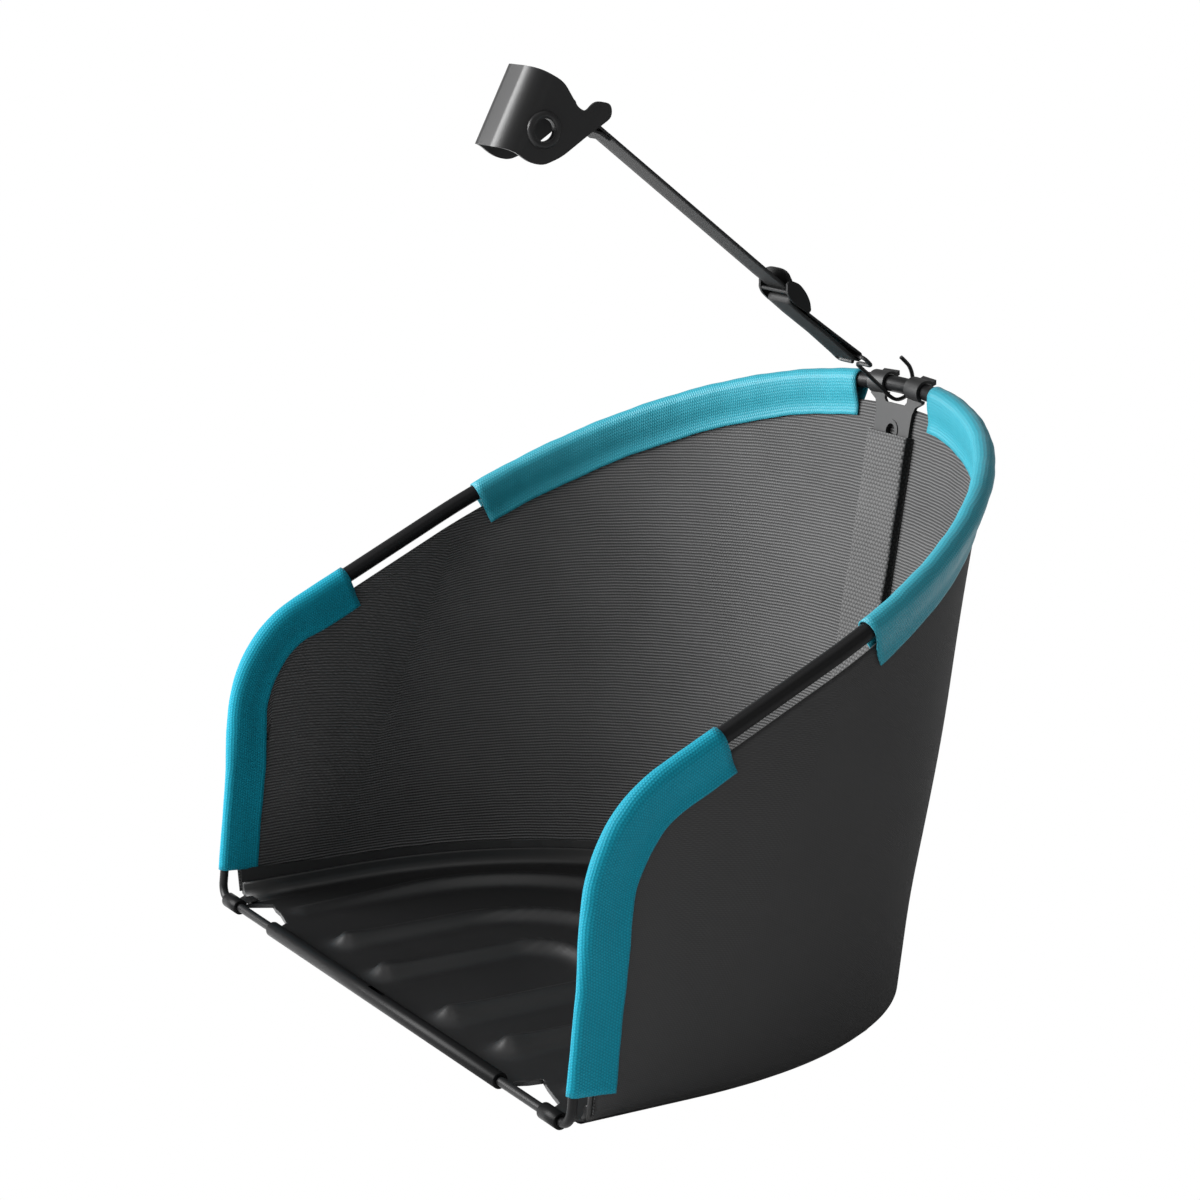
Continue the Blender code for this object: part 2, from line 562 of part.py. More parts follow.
# Rear strut, in a frame of its own: x across, y up the wall, z inward from the fabric's middle
down_wall = (rim[-1] - line[-1]).normalized()
inward = Vector((0.0, down_wall.z, -down_wall.y))
strut_frame = Matrix((
    (1.0, 0.0, 0.0, 0.0),
    (0.0, -down_wall.y, inward.y, HINGE_Y),
    (0.0, -down_wall.z, inward.z, HINGE_Z),
    (0.0, 0.0, 0.0, 1.0)))
strut_length = (HINGE_Z - STRUT_FOOT_Z) / -down_wall.z
strut_top = -(TUBE_R + GAP)
half_strut = [(STRUT_WINDOW, strut_top), (STRUT_EARS, strut_top - 0.0014), (STRUT_EARS, -0.0082),
              (STRUT_SHOULDER, -0.0112), (STRUT_NECK + 0.0004, -0.0160), (STRUT_NECK, -0.0215),
              (STRUT_NECK, -strut_length)]
window = [(STRUT_WINDOW, strut_top), (STRUT_WINDOW, -STRUT_WINDOW_END + 0.002),
          (STRUT_WINDOW - 0.002, -STRUT_WINDOW_END)]
shape = half_strut + [(-x, y) for x, y in reversed(half_strut)]
shape += [(-x, y) for x, y in window[1:]] + list(reversed(window[1:]))
strut_mid = STRUT_IN + STRUT_T / 2
rear_strut = plate("rear_strut", shape, STRUT_T, strut_frame @ Matrix.Translation((0, 0, strut_mid)))

finger_in = TUBE_R + GAP + 0.00015
finger_out = finger_in + FINGER_T
lift = math.atan2(-down_wall.y, -down_wall.z)
outer = arc((0, 0), finger_out, FINGER_START, FINGER_END, 14)
inner = arc((0, 0), finger_in, FINGER_END, FINGER_START, 14)
tip = FINGER_END
lip = [((finger_out + FINGER_LIP) * math.cos(tip + 0.16), (finger_out + FINGER_LIP) * math.sin(tip + 0.16)),
       ((finger_in + FINGER_LIP) * math.cos(tip - 0.10), (finger_in + FINGER_LIP) * math.sin(tip - 0.10))]
finger_shape = outer[:-1] + lip + inner
side_plane = Matrix(((0, 0, 1, 0), (1, 0, 0, 0), (0, 1, 0, 0), (0, 0, 0, 1)))
finger_mid = (STRUT_WINDOW + STRUT_EARS) / 2
finger_angle = math.acos((finger_mid / HALF_SPAN) ** (LOOP_POWER / 2))
finger_place = back(finger_angle)
along_tube = (back(finger_angle - 0.01) - back(finger_angle + 0.01)).normalized()


def on_tube(sign):
    """The side view plane, moved to a finger and turned square to the tube there."""
    normal = Vector((along_tube.x, sign * along_tube.y, sign * along_tube.z))
    ahead = (Vector((0.0, 1.0, 0.0)) - normal * normal.y).normalized()
    turned = Matrix((ahead, normal.cross(ahead), normal)).transposed().to_4x4()
    return Matrix.Translation((sign * finger_mid, finger_place.y, finger_place.z)) @ turned


fingers = [plate(f"finger_{sign}", finger_shape, STRUT_EARS - STRUT_WINDOW, on_tube(sign), guides)
           for sign in (-1, 1)]
hole_at = strut_frame @ Vector((0.0, -STRUT_HOLE_DOWN, STRUT_IN + STRUT_T))
facing = strut_frame.to_3x3().to_4x4()
rim_ring = rod("strut_rim", STRUT_RIM_R, 2 * STRUT_RIM_H, hole_at, facing, 28, group=guides)
strut_hole = rod("strut_hole", STRUT_HOLE_R, 0.012, hole_at, facing, 28, group=guides)
combine(rear_strut, [*fingers, rim_ring], "UNION")
combine(rear_strut, [strut_hole], "DIFFERENCE")

# Pocket: webbing sewn to the inner face of the rear wall, open at the top and at the wall
pocket_in = STRUT_NECK + 0.0010
pocket_foot = strut_length + GAP
pocket_low = pocket_foot + POCKET_T


def strut_box(name, half, low, high, near, far, group):
    """A box in the strut's frame: half width, extent down the wall, and extent inward."""
    made = block(name, (-half, -high, near), (half, -low, far), group)
    made.data.transform(made.matrix_basis)
    made.matrix_world = strut_frame
    return made


wall_face = STRUT_IN - GAP
front_face = STRUT_IN + STRUT_T + STRUT_RIM_H + GAP
strut_pocket = strut_box("strut_pocket", pocket_in + POCKET_T, POCKET_TOP, pocket_low, wall_face,
                         front_face + POCKET_T, model)
pocket_space = strut_box("pocket_space", pocket_in, POCKET_TOP - 0.004, pocket_foot, wall_face - 0.002, front_face, guides)
combine(strut_pocket, [pocket_space], "DIFFERENCE")


def hang(piece, pivot):
    """Makes a piece swing with a pivot and leaves it where it is."""
    bpy.context.view_layer.update()
    piece.parent = pivot
    piece.matrix_parent_inverse = pivot.matrix_world.inverted()
    return piece


def pivot_at(name, y, z, held_by=None):
    """An empty on the axis that a group of pieces swings on, across the part."""
    pivot = bpy.data.objects.new(name, None)
    pivot.location = (0.0, y, z)
    model.objects.link(pivot)
    return hang(pivot, held_by) if held_by else pivot


# Hanger: the hook swings on the rear tube, the strap on the hook's ring, the clip on the strap's end loop
clip_y, clip_z = HINGE_Y + CLIP_HOLE_AT[0], HINGE_Z + CLIP_HOLE_AT[1]
hook_pivot = pivot_at("hook_pivot", HINGE_Y, HINGE_Z)
strap_pivot = pivot_at("strap_pivot", HINGE_Y + RING_HIGH[0], HINGE_Z + RING_HIGH[1], hook_pivot)
clip_pivot = pivot_at("clip_pivot", clip_y + PIN_AT[0], clip_z + PIN_AT[1], strap_pivot)


def from_tube(y, z, x=0.0):
    return Vector((x, HINGE_Y + y, HINGE_Z + z))


# One wire: open hook round the tube, straight stem, and a ring for the strap
hook_line = [from_tube(y, z) for y, z in smooth_path(HOOK_PATH, 4)]
low, high = RING_LOW, RING_HIGH
stem_top = from_tube(low[0] + 0.0012, low[1] - 0.0012)
ring = [hook_line[-1], stem_top, from_tube(*low, 0.0040), from_tube(*low, RING_HALF), from_tube(*high, RING_HALF),
        from_tube(*high, -RING_HALF), from_tube(*low, -RING_HALF), from_tube(*low, -0.0030)]
wire_hook = hang(wire("wire_hook", hook_line[:-1] + rounded(ring, RING_CORNER), HOOK_R, sides=2), hook_pivot)

# Slider: two side cheeks, two bars and a raised tab, in a frame along the strap
slider_frame = Matrix((
    (0.0, 0.0, -1.0, 0.0),
    (-math.cos(SLIDER_DIR), math.sin(SLIDER_DIR), 0.0, HINGE_Y + SLIDER_AT[0]),
    (math.sin(SLIDER_DIR), math.cos(SLIDER_DIR), 0.0, HINGE_Z + SLIDER_AT[1]),
    (0.0, 0.0, 0.0, 1.0)))
cheek = [(0.0100, -0.0040), (0.0100, -0.0022), (0.0085, -0.0006), (0.0030, 0.0008), (-0.0040, -0.0008),
         (-0.0096, -0.0036), (-0.0134, -0.0076), (-0.0125, -0.0096), (-0.0080, -0.0100), (-0.0020, -0.0104),
         (0.0040, -0.0096), (0.0074, -0.0078), (0.0086, -0.0058)]
cheek = [tuple(p) for p in rounded(cheek, 0.003, 3)]
strap_slider = plate("strap_slider", cheek, CHEEK_T, slider_frame @ Matrix.Translation((0, 0, CHEEK_X)))
far_cheek = plate("far_cheek", cheek, CHEEK_T, slider_frame @ Matrix.Translation((0, 0, -CHEEK_X)), guides)
bars = [rod(f"slider_bar_{number}", BAR_R, 2 * CHEEK_X, slider_frame @ Vector((u, v, 0.0)), sides=16, group=guides)
        for number, (u, v) in enumerate((BAR_FRONT, BAR_MID))]
strap_top = -0.0042 + STRAP_T / 2
tab = [(-CHEEK_X, 0.0), *((x, TAB_EDGE + TAB_RISE * math.sqrt(1 - abs(x / CHEEK_X) ** 3.2))
                          for x in [-CHEEK_X, *between(-CHEEK_X, CHEEK_X, 16)]), (CHEEK_X, 0.0)]
lean_u, lean_v = math.sin(TAB_LEAN), math.cos(TAB_LEAN)
tab_frame = slider_frame @ Matrix(((0, lean_u, -lean_v, TAB_U), (0, lean_v, lean_u, strap_top + 0.0012),
                                   (1, 0, 0, 0), (0, 0, 0, 1)))
slider_tab = plate("slider_tab", tab, 0.0016, tab_frame, guides)
combine(strap_slider, [far_cheek, *bars, slider_tab], "UNION")
hang(strap_slider, strap_pivot)

# Clip: folded sheet bracket with two cheeks, cut to its side outline
web_low, web_high = (Vector(p) for p in CLIP_WEB)
web_up = (web_high - web_low).normalized()
web_in = Vector((web_up.y, -web_up.x))
leg = 4 * CLIP_HALF


def channel_half(inset):
    """Half of the channel's section: across, and in from the web."""
    bend = CLIP_BEND - inset
    corner = (CLIP_HALF - CLIP_BEND, CLIP_BEND)
    turned = [(corner[0] + bend * math.sin(a), corner[1] - bend * math.cos(a))
              for a in (math.pi / 2 * i / 12 for i in range(13))]
    return [*turned, (CLIP_HALF - inset, leg)]


outer_half, inner_half = channel_half(0.0), channel_half(CLIP_SHEET)
channel = outer_half + list(reversed(inner_half))
channel += [(-x, d) for x, d in inner_half] + [(-x, d) for x, d in reversed(outer_half)]
web_mid = (web_low + web_high) / 2
channel_frame = Matrix((
    (1.0, 0.0, 0.0, 0.0),
    (0.0, web_in.x, web_up.x, clip_y + web_mid.x),
    (0.0, web_in.y, web_up.y, clip_z + web_mid.y),
    (0.0, 0.0, 0.0, 1.0)))
mower_clip = plate("mower_clip", channel, 6 * CLIP_HALF, channel_frame)
profile = [tuple(p) for p in rounded(CLIP_PROFILE, CLIP_CORNER, 4)]
clip_plane = Matrix(((0, 0, 1, 0), (1, 0, 0, clip_y), (0, 1, 0, clip_z), (0, 0, 0, 1)))
clip_outline = plate("clip_outline", profile, 3 * CLIP_HALF, clip_plane, guides)
clip_rims = [rod(f"clip_rim_{sign}", CLIP_RIM_R, 2 * CLIP_RIM_H, (sign * CLIP_HALF, clip_y + CLIP_BORE, clip_z),
                 Matrix.Rotation(sign * math.pi / 2, 4, "Y"), 32, CLIP_HOLE_R + 0.0004, guides) for sign in (-1, 1)]
clip_bore = rod("clip_bore", CLIP_HOLE_R, 4 * CLIP_HALF, (0.0, clip_y + CLIP_BORE, clip_z), sides=32, group=guides)
combine(mower_clip, [clip_outline], "INTERSECT")
combine(mower_clip, clip_rims, "UNION")
combine(mower_clip, [clip_bore], "DIFFERENCE")
hang(mower_clip, clip_pivot)

pin_centre = Vector((0.0, clip_y + PIN_AT[0], clip_z + PIN_AT[1]))
clip_pin = hang(rod("clip_pin", PIN_R, 2 * (CLIP_HALF - CLIP_SHEET - GAP), pin_centre, sides=20), clip_pivot)


# Strap: one webbing, sewn back on itself at the pin, through the slider, round the ring and up to the slider's bar
def uv(u, v):
    """A side-view point in the slider's frame."""
    point = slider_frame @ Vector((u, v, 0.0))
    return Vector((point.y, point.z))


def wrap(centre, radius, start, end, steps=8):
    return [Vector(p) for p in arc(centre, radius, start, end, steps)]


pin = Vector((pin_centre.y, pin_centre.z))
pin_wrap = PIN_R + GAP + STRAP_T / 2
enter = uv(0.017, -0.0041)
along = (pin - enter).normalized()
along = (pin + Vector((along.y, -along.x)) * pin_wrap - enter).normalized()
above = Vector((along.y, -along.x))
angle = math.atan2(above.y, above.x)
layer = STRAP_T + GAP
route = [pin - along * 0.0225 + above * (pin_wrap - layer), pin - along * 0.0165 + above * (pin_wrap - layer - 0.0002)]
route += wrap(pin, pin_wrap, angle + math.pi + 0.33, angle)
route += [pin - along * 0.020 + above * pin_wrap, enter]
route += [uv(0.008, -0.0042), uv(-0.001, -0.0040), uv(-0.007, -0.0058), uv(-0.016, -0.0088), uv(-0.036, -0.0086)]
ring_bar = Vector((HINGE_Y + high[0], HINGE_Z + high[1]))
ring_wrap = HOOK_R + GAP + STRAP_T / 2
up = math.atan2(math.cos(SLIDER_DIR), math.sin(SLIDER_DIR))
route += wrap(ring_bar, ring_wrap, up, up - math.pi)
mid_bar = uv(*BAR_MID)
bar_wrap = BAR_R + GAP + STRAP_T / 2
route += [uv(-0.036, -0.0114), uv(-0.014, -0.0112)]
route += wrap(mid_bar, bar_wrap, up - math.pi, up - 2 * math.pi + 0.2)


def ribbon(points, thickness):
    """The outline of a band along a path in the side view."""
    left, right = [], []
    for index, point in enumerate(points):
        before, after = points[max(index - 1, 0)], points[min(index + 1, len(points) - 1)]
        step = (after - before).normalized()
        normal = Vector((-step.y, step.x)) * thickness / 2
        left.append(point + normal)
        right.append(point - normal)
    return [tuple(p) for p in left + right[::-1]]


hanger_strap = hang(plate("hanger_strap", ribbon(route, STRAP_T), STRAP_W, side_plane), strap_pivot)

# Finish: materials and smooth shading
finishes = {lower_wire: FRAME_PAINT, upper_tube: FRAME_PAINT, fabric_body: WALL_CLOTH, edge_strip: STRIP_PLASTIC,
            floor_tray: TRAY_PLASTIC, rear_strut: STRUT_PLASTIC, strut_pocket: POCKET_CLOTH, wire_hook: HOOK_STEEL,
            strap_slider: SLIDER_PLASTIC, mower_clip: CLIP_PAINT, clip_pin: PIN_STEEL, hanger_strap: STRAP_CLOTH}
finishes.update({piece: SLEEVE_CLOTH for piece in sleeves})
for piece, finish in finishes.items():
    piece.data.materials.clear()
    piece.data.materials.append(finish)
    if piece.type == "MESH":
        piece.data.shade_smooth()
        piece.data.set_sharp_from_angle(angle=math.radians(35))
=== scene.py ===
"""The looks of a grass catcher: cloth, paint, moulded plastic, light and camera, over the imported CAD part."""
import math

import bmesh
import bpy
import numpy as np
from mathutils import Matrix, Vector


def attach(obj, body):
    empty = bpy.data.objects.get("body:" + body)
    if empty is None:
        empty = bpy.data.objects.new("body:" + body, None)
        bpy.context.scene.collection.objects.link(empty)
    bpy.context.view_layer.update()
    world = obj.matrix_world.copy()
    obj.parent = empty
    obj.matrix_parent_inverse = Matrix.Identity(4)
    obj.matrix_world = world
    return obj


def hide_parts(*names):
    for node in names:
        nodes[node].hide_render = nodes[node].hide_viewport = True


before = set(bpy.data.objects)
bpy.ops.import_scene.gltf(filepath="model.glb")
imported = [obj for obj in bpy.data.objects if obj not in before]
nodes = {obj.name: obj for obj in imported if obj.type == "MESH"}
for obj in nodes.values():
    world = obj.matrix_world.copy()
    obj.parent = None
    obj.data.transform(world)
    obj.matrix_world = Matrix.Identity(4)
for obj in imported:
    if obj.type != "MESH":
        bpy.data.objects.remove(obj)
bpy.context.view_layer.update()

# Sizes shared with the part, in metres; y and z are counted from the axis of the front cross wire
ROD_Y, ROD_Z = -0.182275, 0.0047
HALF_SPAN = 0.221
LEAN, TOP_SLOPE = math.radians(6.5), math.radians(25.57)
LOOP_BACK, LOOP_RISE, LOOP_DEPTH, LOOP_POWER = 0.3607, 0.3252, 0.2273, 2.08
BEND_R = 0.0805
TUBE_BELOW_BEND, UPRIGHT_HIGH = 0.0071, 0.09
WALL_FRONT = 0.012
TRAY_STRAIGHT, TRAY_POWER = 0.0779, 2.19
CLOTH_T = 0.0009
BOTTOM_HALF, BOTTOM_BACK, BOTTOM_Z = 0.2190, 0.3085, 0.0065
RIM_HALF, RIM_BACK, RIM_Z = 0.22145, 0.3098, 0.0205
CLOTH_TO_TUBE, CLOTH_SAG = 0.010, 0.0025
SLEEVE_BOTTOM, SLEEVE_FRONT_END = 0.0170, 0.0926
REAR_SLEEVE_AHEAD, REAR_SLEEVE_END_X = 0.0281, 0.0384
SLEEVE_DROP, SLEEVE_T = 0.022, 0.0010
WIRE_R, WIRE_BEND, TUBE_R, TUBE_NECK_R, NECK_LENGTH, WIRE_IN_TUBE = 0.0027, 0.009, 0.005, 0.0041, 0.006, 0.012
ROLL_R, ROLL_HALF, CORNER_SLEEVE = 0.0047, 0.1455, (0.1932, 0.2117)
FLOOR_T, WALL_TOP, TRAY_WALL_IN = 0.0024, 0.0116, 0.0027
RIB_HEIGHT, RIB_WIDTH, RIB_STRAIGHT = 0.0072, 0.0078, 0.106
RIBS = ((0.1717, 0.2458, 0.026), (0.1018, 0.1875, 0.022), (0.0415, 0.1388, 0.017))
LEFT_CUT = ((0.0470, -0.007), (0.0470, 0.004), (0.0580, 0.008), (0.0495, 0.0227), (0.0405, 0.0205),
            (0.0315, 0.0195), (0.0125, 0.0150), (0.0085, 0.0096), (0.0025, 0.006), (0.0005, -0.007))
RIGHT_CUT = ((0.0005, -0.007), (0.0005, 0.009), (0.0035, 0.0155), (0.0050, 0.0235), (0.0145, 0.0205),
             (0.0245, 0.0180), (0.0385, 0.0148), (0.0415, 0.0100), (0.0470, 0.006), (0.0470, -0.007))
STRUT_NECK, STRUT_IN, STRUT_T, STRUT_FOOT_Z = 0.0180, 0.0014, 0.0021, 0.0240
POCKET_TOP, POCKET_T = 0.0295, 0.0009
CLIP_HALF, CLIP_AT = 0.0205, (ROD_Y + 0.1019, ROD_Z + 0.4927)
CLIP_RING = ((0.0106, -0.0001), (0.0105, 0.0006), (0.0101, 0.0013), (0.0093, 0.0018), (0.0083, 0.0019),
             (0.0074, 0.0016), (0.0067, 0.0009), (0.00635, 0.0), (0.0063, -0.0021))

# Camera, at the photograph's place
AZ, EL, ROLL = math.radians(59.78), math.radians(13.19), math.radians(-0.27)
back_dir = Vector((math.sin(AZ) * math.cos(EL), -math.cos(AZ) * math.cos(EL), math.sin(EL)))
right_dir = Vector((math.cos(AZ), math.sin(AZ), 0.0))
up_dir = back_dir.cross(right_dir)
cam_x = math.cos(ROLL) * right_dir + math.sin(ROLL) * up_dir
cam_y = -math.sin(ROLL) * right_dir + math.cos(ROLL) * up_dir
camera_data = bpy.data.cameras.new("camera")
camera_data.lens = 97.17
camera_data.sensor_width = 36.0
camera = bpy.data.objects.new("camera", camera_data)
camera.matrix_world = Matrix.Translation((1.5833, -0.7742 + ROD_Y, 0.6472 + ROD_Z)) @ \
    Matrix((cam_x, cam_y, back_dir)).transposed().to_4x4()
bpy.context.scene.collection.objects.link(camera)
bpy.context.scene.camera = camera


class Nodes:
    """A short way to write a material's node tree."""

    def __init__(self, name):
        self.material = bpy.data.materials.new(name)
        self.material.use_nodes = True
        self.tree = self.material.node_tree
        self.shader = self.tree.nodes["Principled BSDF"]

    def add(self, kind, inputs=None, **settings):
        made = self.tree.nodes.new("ShaderNode" + kind)
        for key, value in settings.items():
            setattr(made, key, value)
        for key, value in (inputs or {}).items():
            self.put(made.inputs[key], value)
        return made

    def put(self, socket, value):
        if isinstance(value, bpy.types.NodeSocket):
            self.tree.links.new(value, socket)
        else:
            socket.default_value = value

    def math(self, operation, *values):
        made = self.add("Math", operation=operation)
        for index, value in enumerate(values):
            self.put(made.inputs[index], value)
        return made.outputs[0]

    def set(self, **inputs):
        for key, value in inputs.items():
            self.put(self.shader.inputs[key.replace("_", " ")], value)

    def noise(self, vector, scale, detail):
        return self.add("TexNoise", {"Vector": vector, "Scale": scale, "Detail": detail}).outputs["Fac"]

    def mix(self, factor, low, high):
        made = self.add("Mix", data_type="RGBA")
        self.put(made.inputs[0], factor)
        self.put(made.inputs[6], low)
        self.put(made.inputs[7], high)
        return made.outputs[2]

    def bump(self, height, strength, distance):
        return self.add("Bump", {"Height": height, "Strength": strength, "Distance": distance}).outputs[0]


def colour(r, g, b):
    return (r, g, b, 1.0)


def plain(name, tone, roughness, metallic=0.0, grain=0.0, grain_scale=900.0, specular=0.5, ior=1.5):
    """Moulded plastic or paint: one tone with a little unevenness and a fine grain."""
    n = Nodes(name)
    place = n.add("TexCoord").outputs["Object"]
    cloud = n.noise(place, 14.0, 3.0)
    shade = n.mix(cloud, colour(*(c * 0.85 for c in tone)), colour(*(c * 1.15 for c in tone)))
    rough = n.math("MULTIPLY_ADD", cloud, 0.10, roughness - 0.05)
    n.set(Base_Color=shade, Roughness=rough, Metallic=metallic, Specular_IOR_Level=specular, IOR=ior)
    if grain:
        n.set(Normal=n.bump(n.noise(place, grain_scale, 2.0), grain, 0.0004))
    return n.material


def woven(name, dark, light, pitch_v, pitch_u, roughness, strength, rows_share, specular=0.3, sheen=0.0,
          deep=0.0004, grain=0.12, rows_show=0.36, waver=0.0012):
    """Knitted or woven cloth: rows one way, crossed by stitches the other way. Reads the map in metres."""
    n = Nodes(name)
    place = n.add("TexCoord").outputs["Object"]
    warp = n.math("MULTIPLY_ADD", n.noise(place, 60.0, 2.0), waver, -0.5 * waver)
    split = n.add("SeparateXYZ", {"Vector": n.add("UVMap", uv_map="cloth").outputs[0]})
    u, v = split.outputs[0], n.math("ADD", split.outputs[1], warp)
    row = n.math("DIVIDE", v, pitch_v)
    rows = n.math("COSINE", n.math("MULTIPLY", row, 2 * math.pi))
    shift = n.math("MULTIPLY", n.math("FLOOR", n.math("ADD", row, 0.5)), 0.5)
    along = n.math("ADD", n.math("DIVIDE", u, pitch_u), shift)
    loops = n.math("COSINE", n.math("MULTIPLY", along, 2 * math.pi))
    height = n.math("ADD", n.math("MULTIPLY", rows, rows_share), n.math("MULTIPLY", loops, 1 - rows_share))
    cloud = n.noise(place, 22.0, 3.0)
    fine = n.noise(place, 1400.0, 1.0)
    level = n.math("MULTIPLY_ADD", height, rows_show, n.math("MULTIPLY_ADD", cloud, 0.30, 0.35))
    level = n.math("ADD", level, n.math("MULTIPLY_ADD", fine, grain, -0.5 * grain))
    n.set(Base_Color=n.mix(level, colour(*dark), colour(*light)), Roughness=roughness)
    n.set(Specular_IOR_Level=specular, Sheen_Weight=sheen, Sheen_Roughness=0.45)
    n.set(Normal=n.bump(height, strength, deep))
    return n.material


wall_outside = woven("wall_outside", (0.019, 0.019, 0.0192), (0.034, 0.034, 0.0345), 0.0011, 0.0013, 0.8, 0.25,
                     0.5)
wall_inside = woven("wall_inside", (0.014, 0.014, 0.0142), (0.085, 0.085, 0.0857), 0.0019, 0.0019, 0.68, 0.8,
                    0.85, 0.25, grain=0.14, rows_show=0.50)
teal = woven("sleeve_cloth", (0.0006, 0.108, 0.155), (0.003, 0.208, 0.290), 0.0017, 0.0017, 0.60, 0.4,
             0.4, 0.08, 0.04, grain=0.06)
# Painted light: a lighter, paler copy of the same sleeve cloth, used on the rear sleeves to stand for the
# brighter light and sheen they catch
teal_lit_copy = woven("sleeve_cloth", (0.002, 0.114, 0.156), (0.009, 0.222, 0.284), 0.0019, 0.0016, 0.50, 0.35,
                  0.3, 0.30, 0.08, grain=0.04, rows_show=0.28, waver=0.0004)
pocket_knit = woven("pocket_cloth", (0.014, 0.014, 0.014), (0.082, 0.082, 0.0825), 0.0024, 0.0030, 0.75, 0.8,
                    0.45, 0.3, grain=0.30, rows_show=0.45)
# Painted shade: a darker copy of the pocket cloth for the pocket's narrow sides, standing in for the shadow
# they lie in
pocket_side_shade = woven("pocket_cloth", (0.003, 0.003, 0.003), (0.014, 0.014, 0.014), 0.0024, 0.0030, 0.8, 0.3,
                    0.45, 0.1)
webbing = woven("strap_cloth", (0.0095, 0.0095, 0.0098), (0.0125, 0.0125, 0.0128), 0.0024, 0.0024, 0.6, 0.1,
                0.7, 0.2, deep=0.0001, grain=0.0, waver=0.0)
paint = plain("frame_paint", (0.0050, 0.0050, 0.0053), 0.38, 0.0, 0.03, 900.0, 0.5, 1.22)
hook_paint = plain("hook_steel", (0.006, 0.006, 0.0063), 0.38, 0.0, 0.0, 900.0, 0.35)
tray_skin = plain("tray_plastic", (0.0040, 0.0040, 0.0042), 0.39, 0.0, 0.06, 1500.0, 0.42)
roll_skin = plain("tray_plastic", (0.0035, 0.0035, 0.0037), 0.38, 0.0, 0.04, 1500.0, 0.5, 1.14)
strut_skin = plain("strut_plastic", (0.0100, 0.0100, 0.0103), 0.48, 0.0, 0.06, 900.0, 0.30)
slider_skin = plain("slider_plastic", (0.0035, 0.0035, 0.0037), 0.40, 0.0, 0.0, 900.0, 0.16)
clip_skin = plain("clip_paint", (0.0130, 0.0130, 0.0133), 0.34, 0.0, 0.05, 2200.0, 0.5, 1.30)
pin_skin = plain("pin_steel", (0.35, 0.35, 0.36), 0.35, 1.0)
strip_skin = plain("strip_plastic", (0.010, 0.010, 0.010), 0.45)

for name, finish in (("floor_tray", tray_skin), ("lower_wire", paint), ("upper_tube", paint),
                     ("wire_hook", hook_paint), ("rear_strut", strut_skin), ("strap_slider", slider_skin),
                     ("mower_clip", clip_skin), ("clip_pin", pin_skin), ("bottom_edge_strip", strip_skin)):
    nodes[name].data.materials.clear()
    nodes[name].data.materials.append(finish)


def side(y, z, x=HALF_SPAN):
    return Vector((x, ROD_Y + y, ROD_Z + z))


# Centre line of the frame's right half, as the part has it
knee_y = ((LOOP_RISE - LOOP_BACK * math.tan(TOP_SLOPE)) * math.tan(LEAN)
          / (1 - math.tan(LEAN) * math.tan(TOP_SLOPE)))
knee_z = knee_y / math.tan(LEAN)
tangent = BEND_R * math.tan((math.pi / 2 - LEAN - TOP_SLOPE) / 2)
bend_start = Vector((knee_y - tangent * math.sin(LEAN), knee_z - tangent * math.cos(LEAN)))
bend_end_y = knee_y + tangent * math.cos(TOP_SLOPE)
bend_centre = bend_start + Vector((math.cos(LEAN), -math.sin(LEAN))) * BEND_R
loop_y = LOOP_BACK - LOOP_DEPTH * math.cos(TOP_SLOPE)
tube_start = bend_start.y - TUBE_BELOW_BEND * math.cos(LEAN)


def run(y):
    return side(y, LOOP_RISE - (LOOP_BACK - y) * math.tan(TOP_SLOPE))


def back(angle):
    y = loop_y + LOOP_DEPTH * math.cos(TOP_SLOPE) * math.sin(angle) ** (2 / LOOP_POWER)
    across = HALF_SPAN * max(math.cos(angle), 0.0) ** (2 / LOOP_POWER)
    return side(y, LOOP_RISE - (LOOP_BACK - y) * math.tan(TOP_SLOPE), across if across > 1e-6 else 0.0)


def outline(share, half, rear, z):
    """A point of the tray's outline: share 0 to 1 along the straight side, 1 to 2 round to the middle."""
    if share <= 1:
        return Vector((half, ROD_Y + WALL_FRONT + (TRAY_STRAIGHT - WALL_FRONT) * share, z))
    angle = (share - 1) * math.pi / 2
    x = half * abs(math.cos(angle)) ** (2 / TRAY_POWER)
    y = TRAY_STRAIGHT + (rear - TRAY_STRAIGHT) * abs(math.sin(angle)) ** (2 / TRAY_POWER)
    return Vector((0.0 if share >= 2 else x, ROD_Y + y, z))


def spaced(start, end, count):
    return [start + (end - start) * index / count for index in range(count + 1)]


def stations(step):
    """The frame's right half in steps: points of its centre line, with the tray's share under each."""
    found = []
    for z in spaced(SLEEVE_BOTTOM, bend_start.y, round((bend_start.y - SLEEVE_BOTTOM) / step)):
        share = max(0.0, (z - tube_start + 0.007) / (bend_start.y - tube_start + 0.007)) * 0.24
        found.append((side(z * math.tan(LEAN), z), share))
    turn = math.pi / 2 - LEAN - TOP_SLOPE
    for part in spaced(0.0, 1.0, round(BEND_R * turn / step))[1:]:
        angle = math.pi - LEAN - turn * part
        place = bend_centre + Vector((math.cos(angle), math.sin(angle))) * BEND_R
        found.append((side(place.x, place.y), 0.24 + 0.38 * part))
    for y in spaced(bend_end_y, loop_y, round((loop_y - bend_end_y) / step))[1:]:
        found.append((run(y), 0.62 + 0.38 * (y - bend_end_y) / (loop_y - bend_end_y)))
    quarter = math.pi / 2
    for angle in spaced(0.0, quarter, round(0.35 / step))[1:]:
        found.append((back(angle), 1 + angle / quarter))
    return found


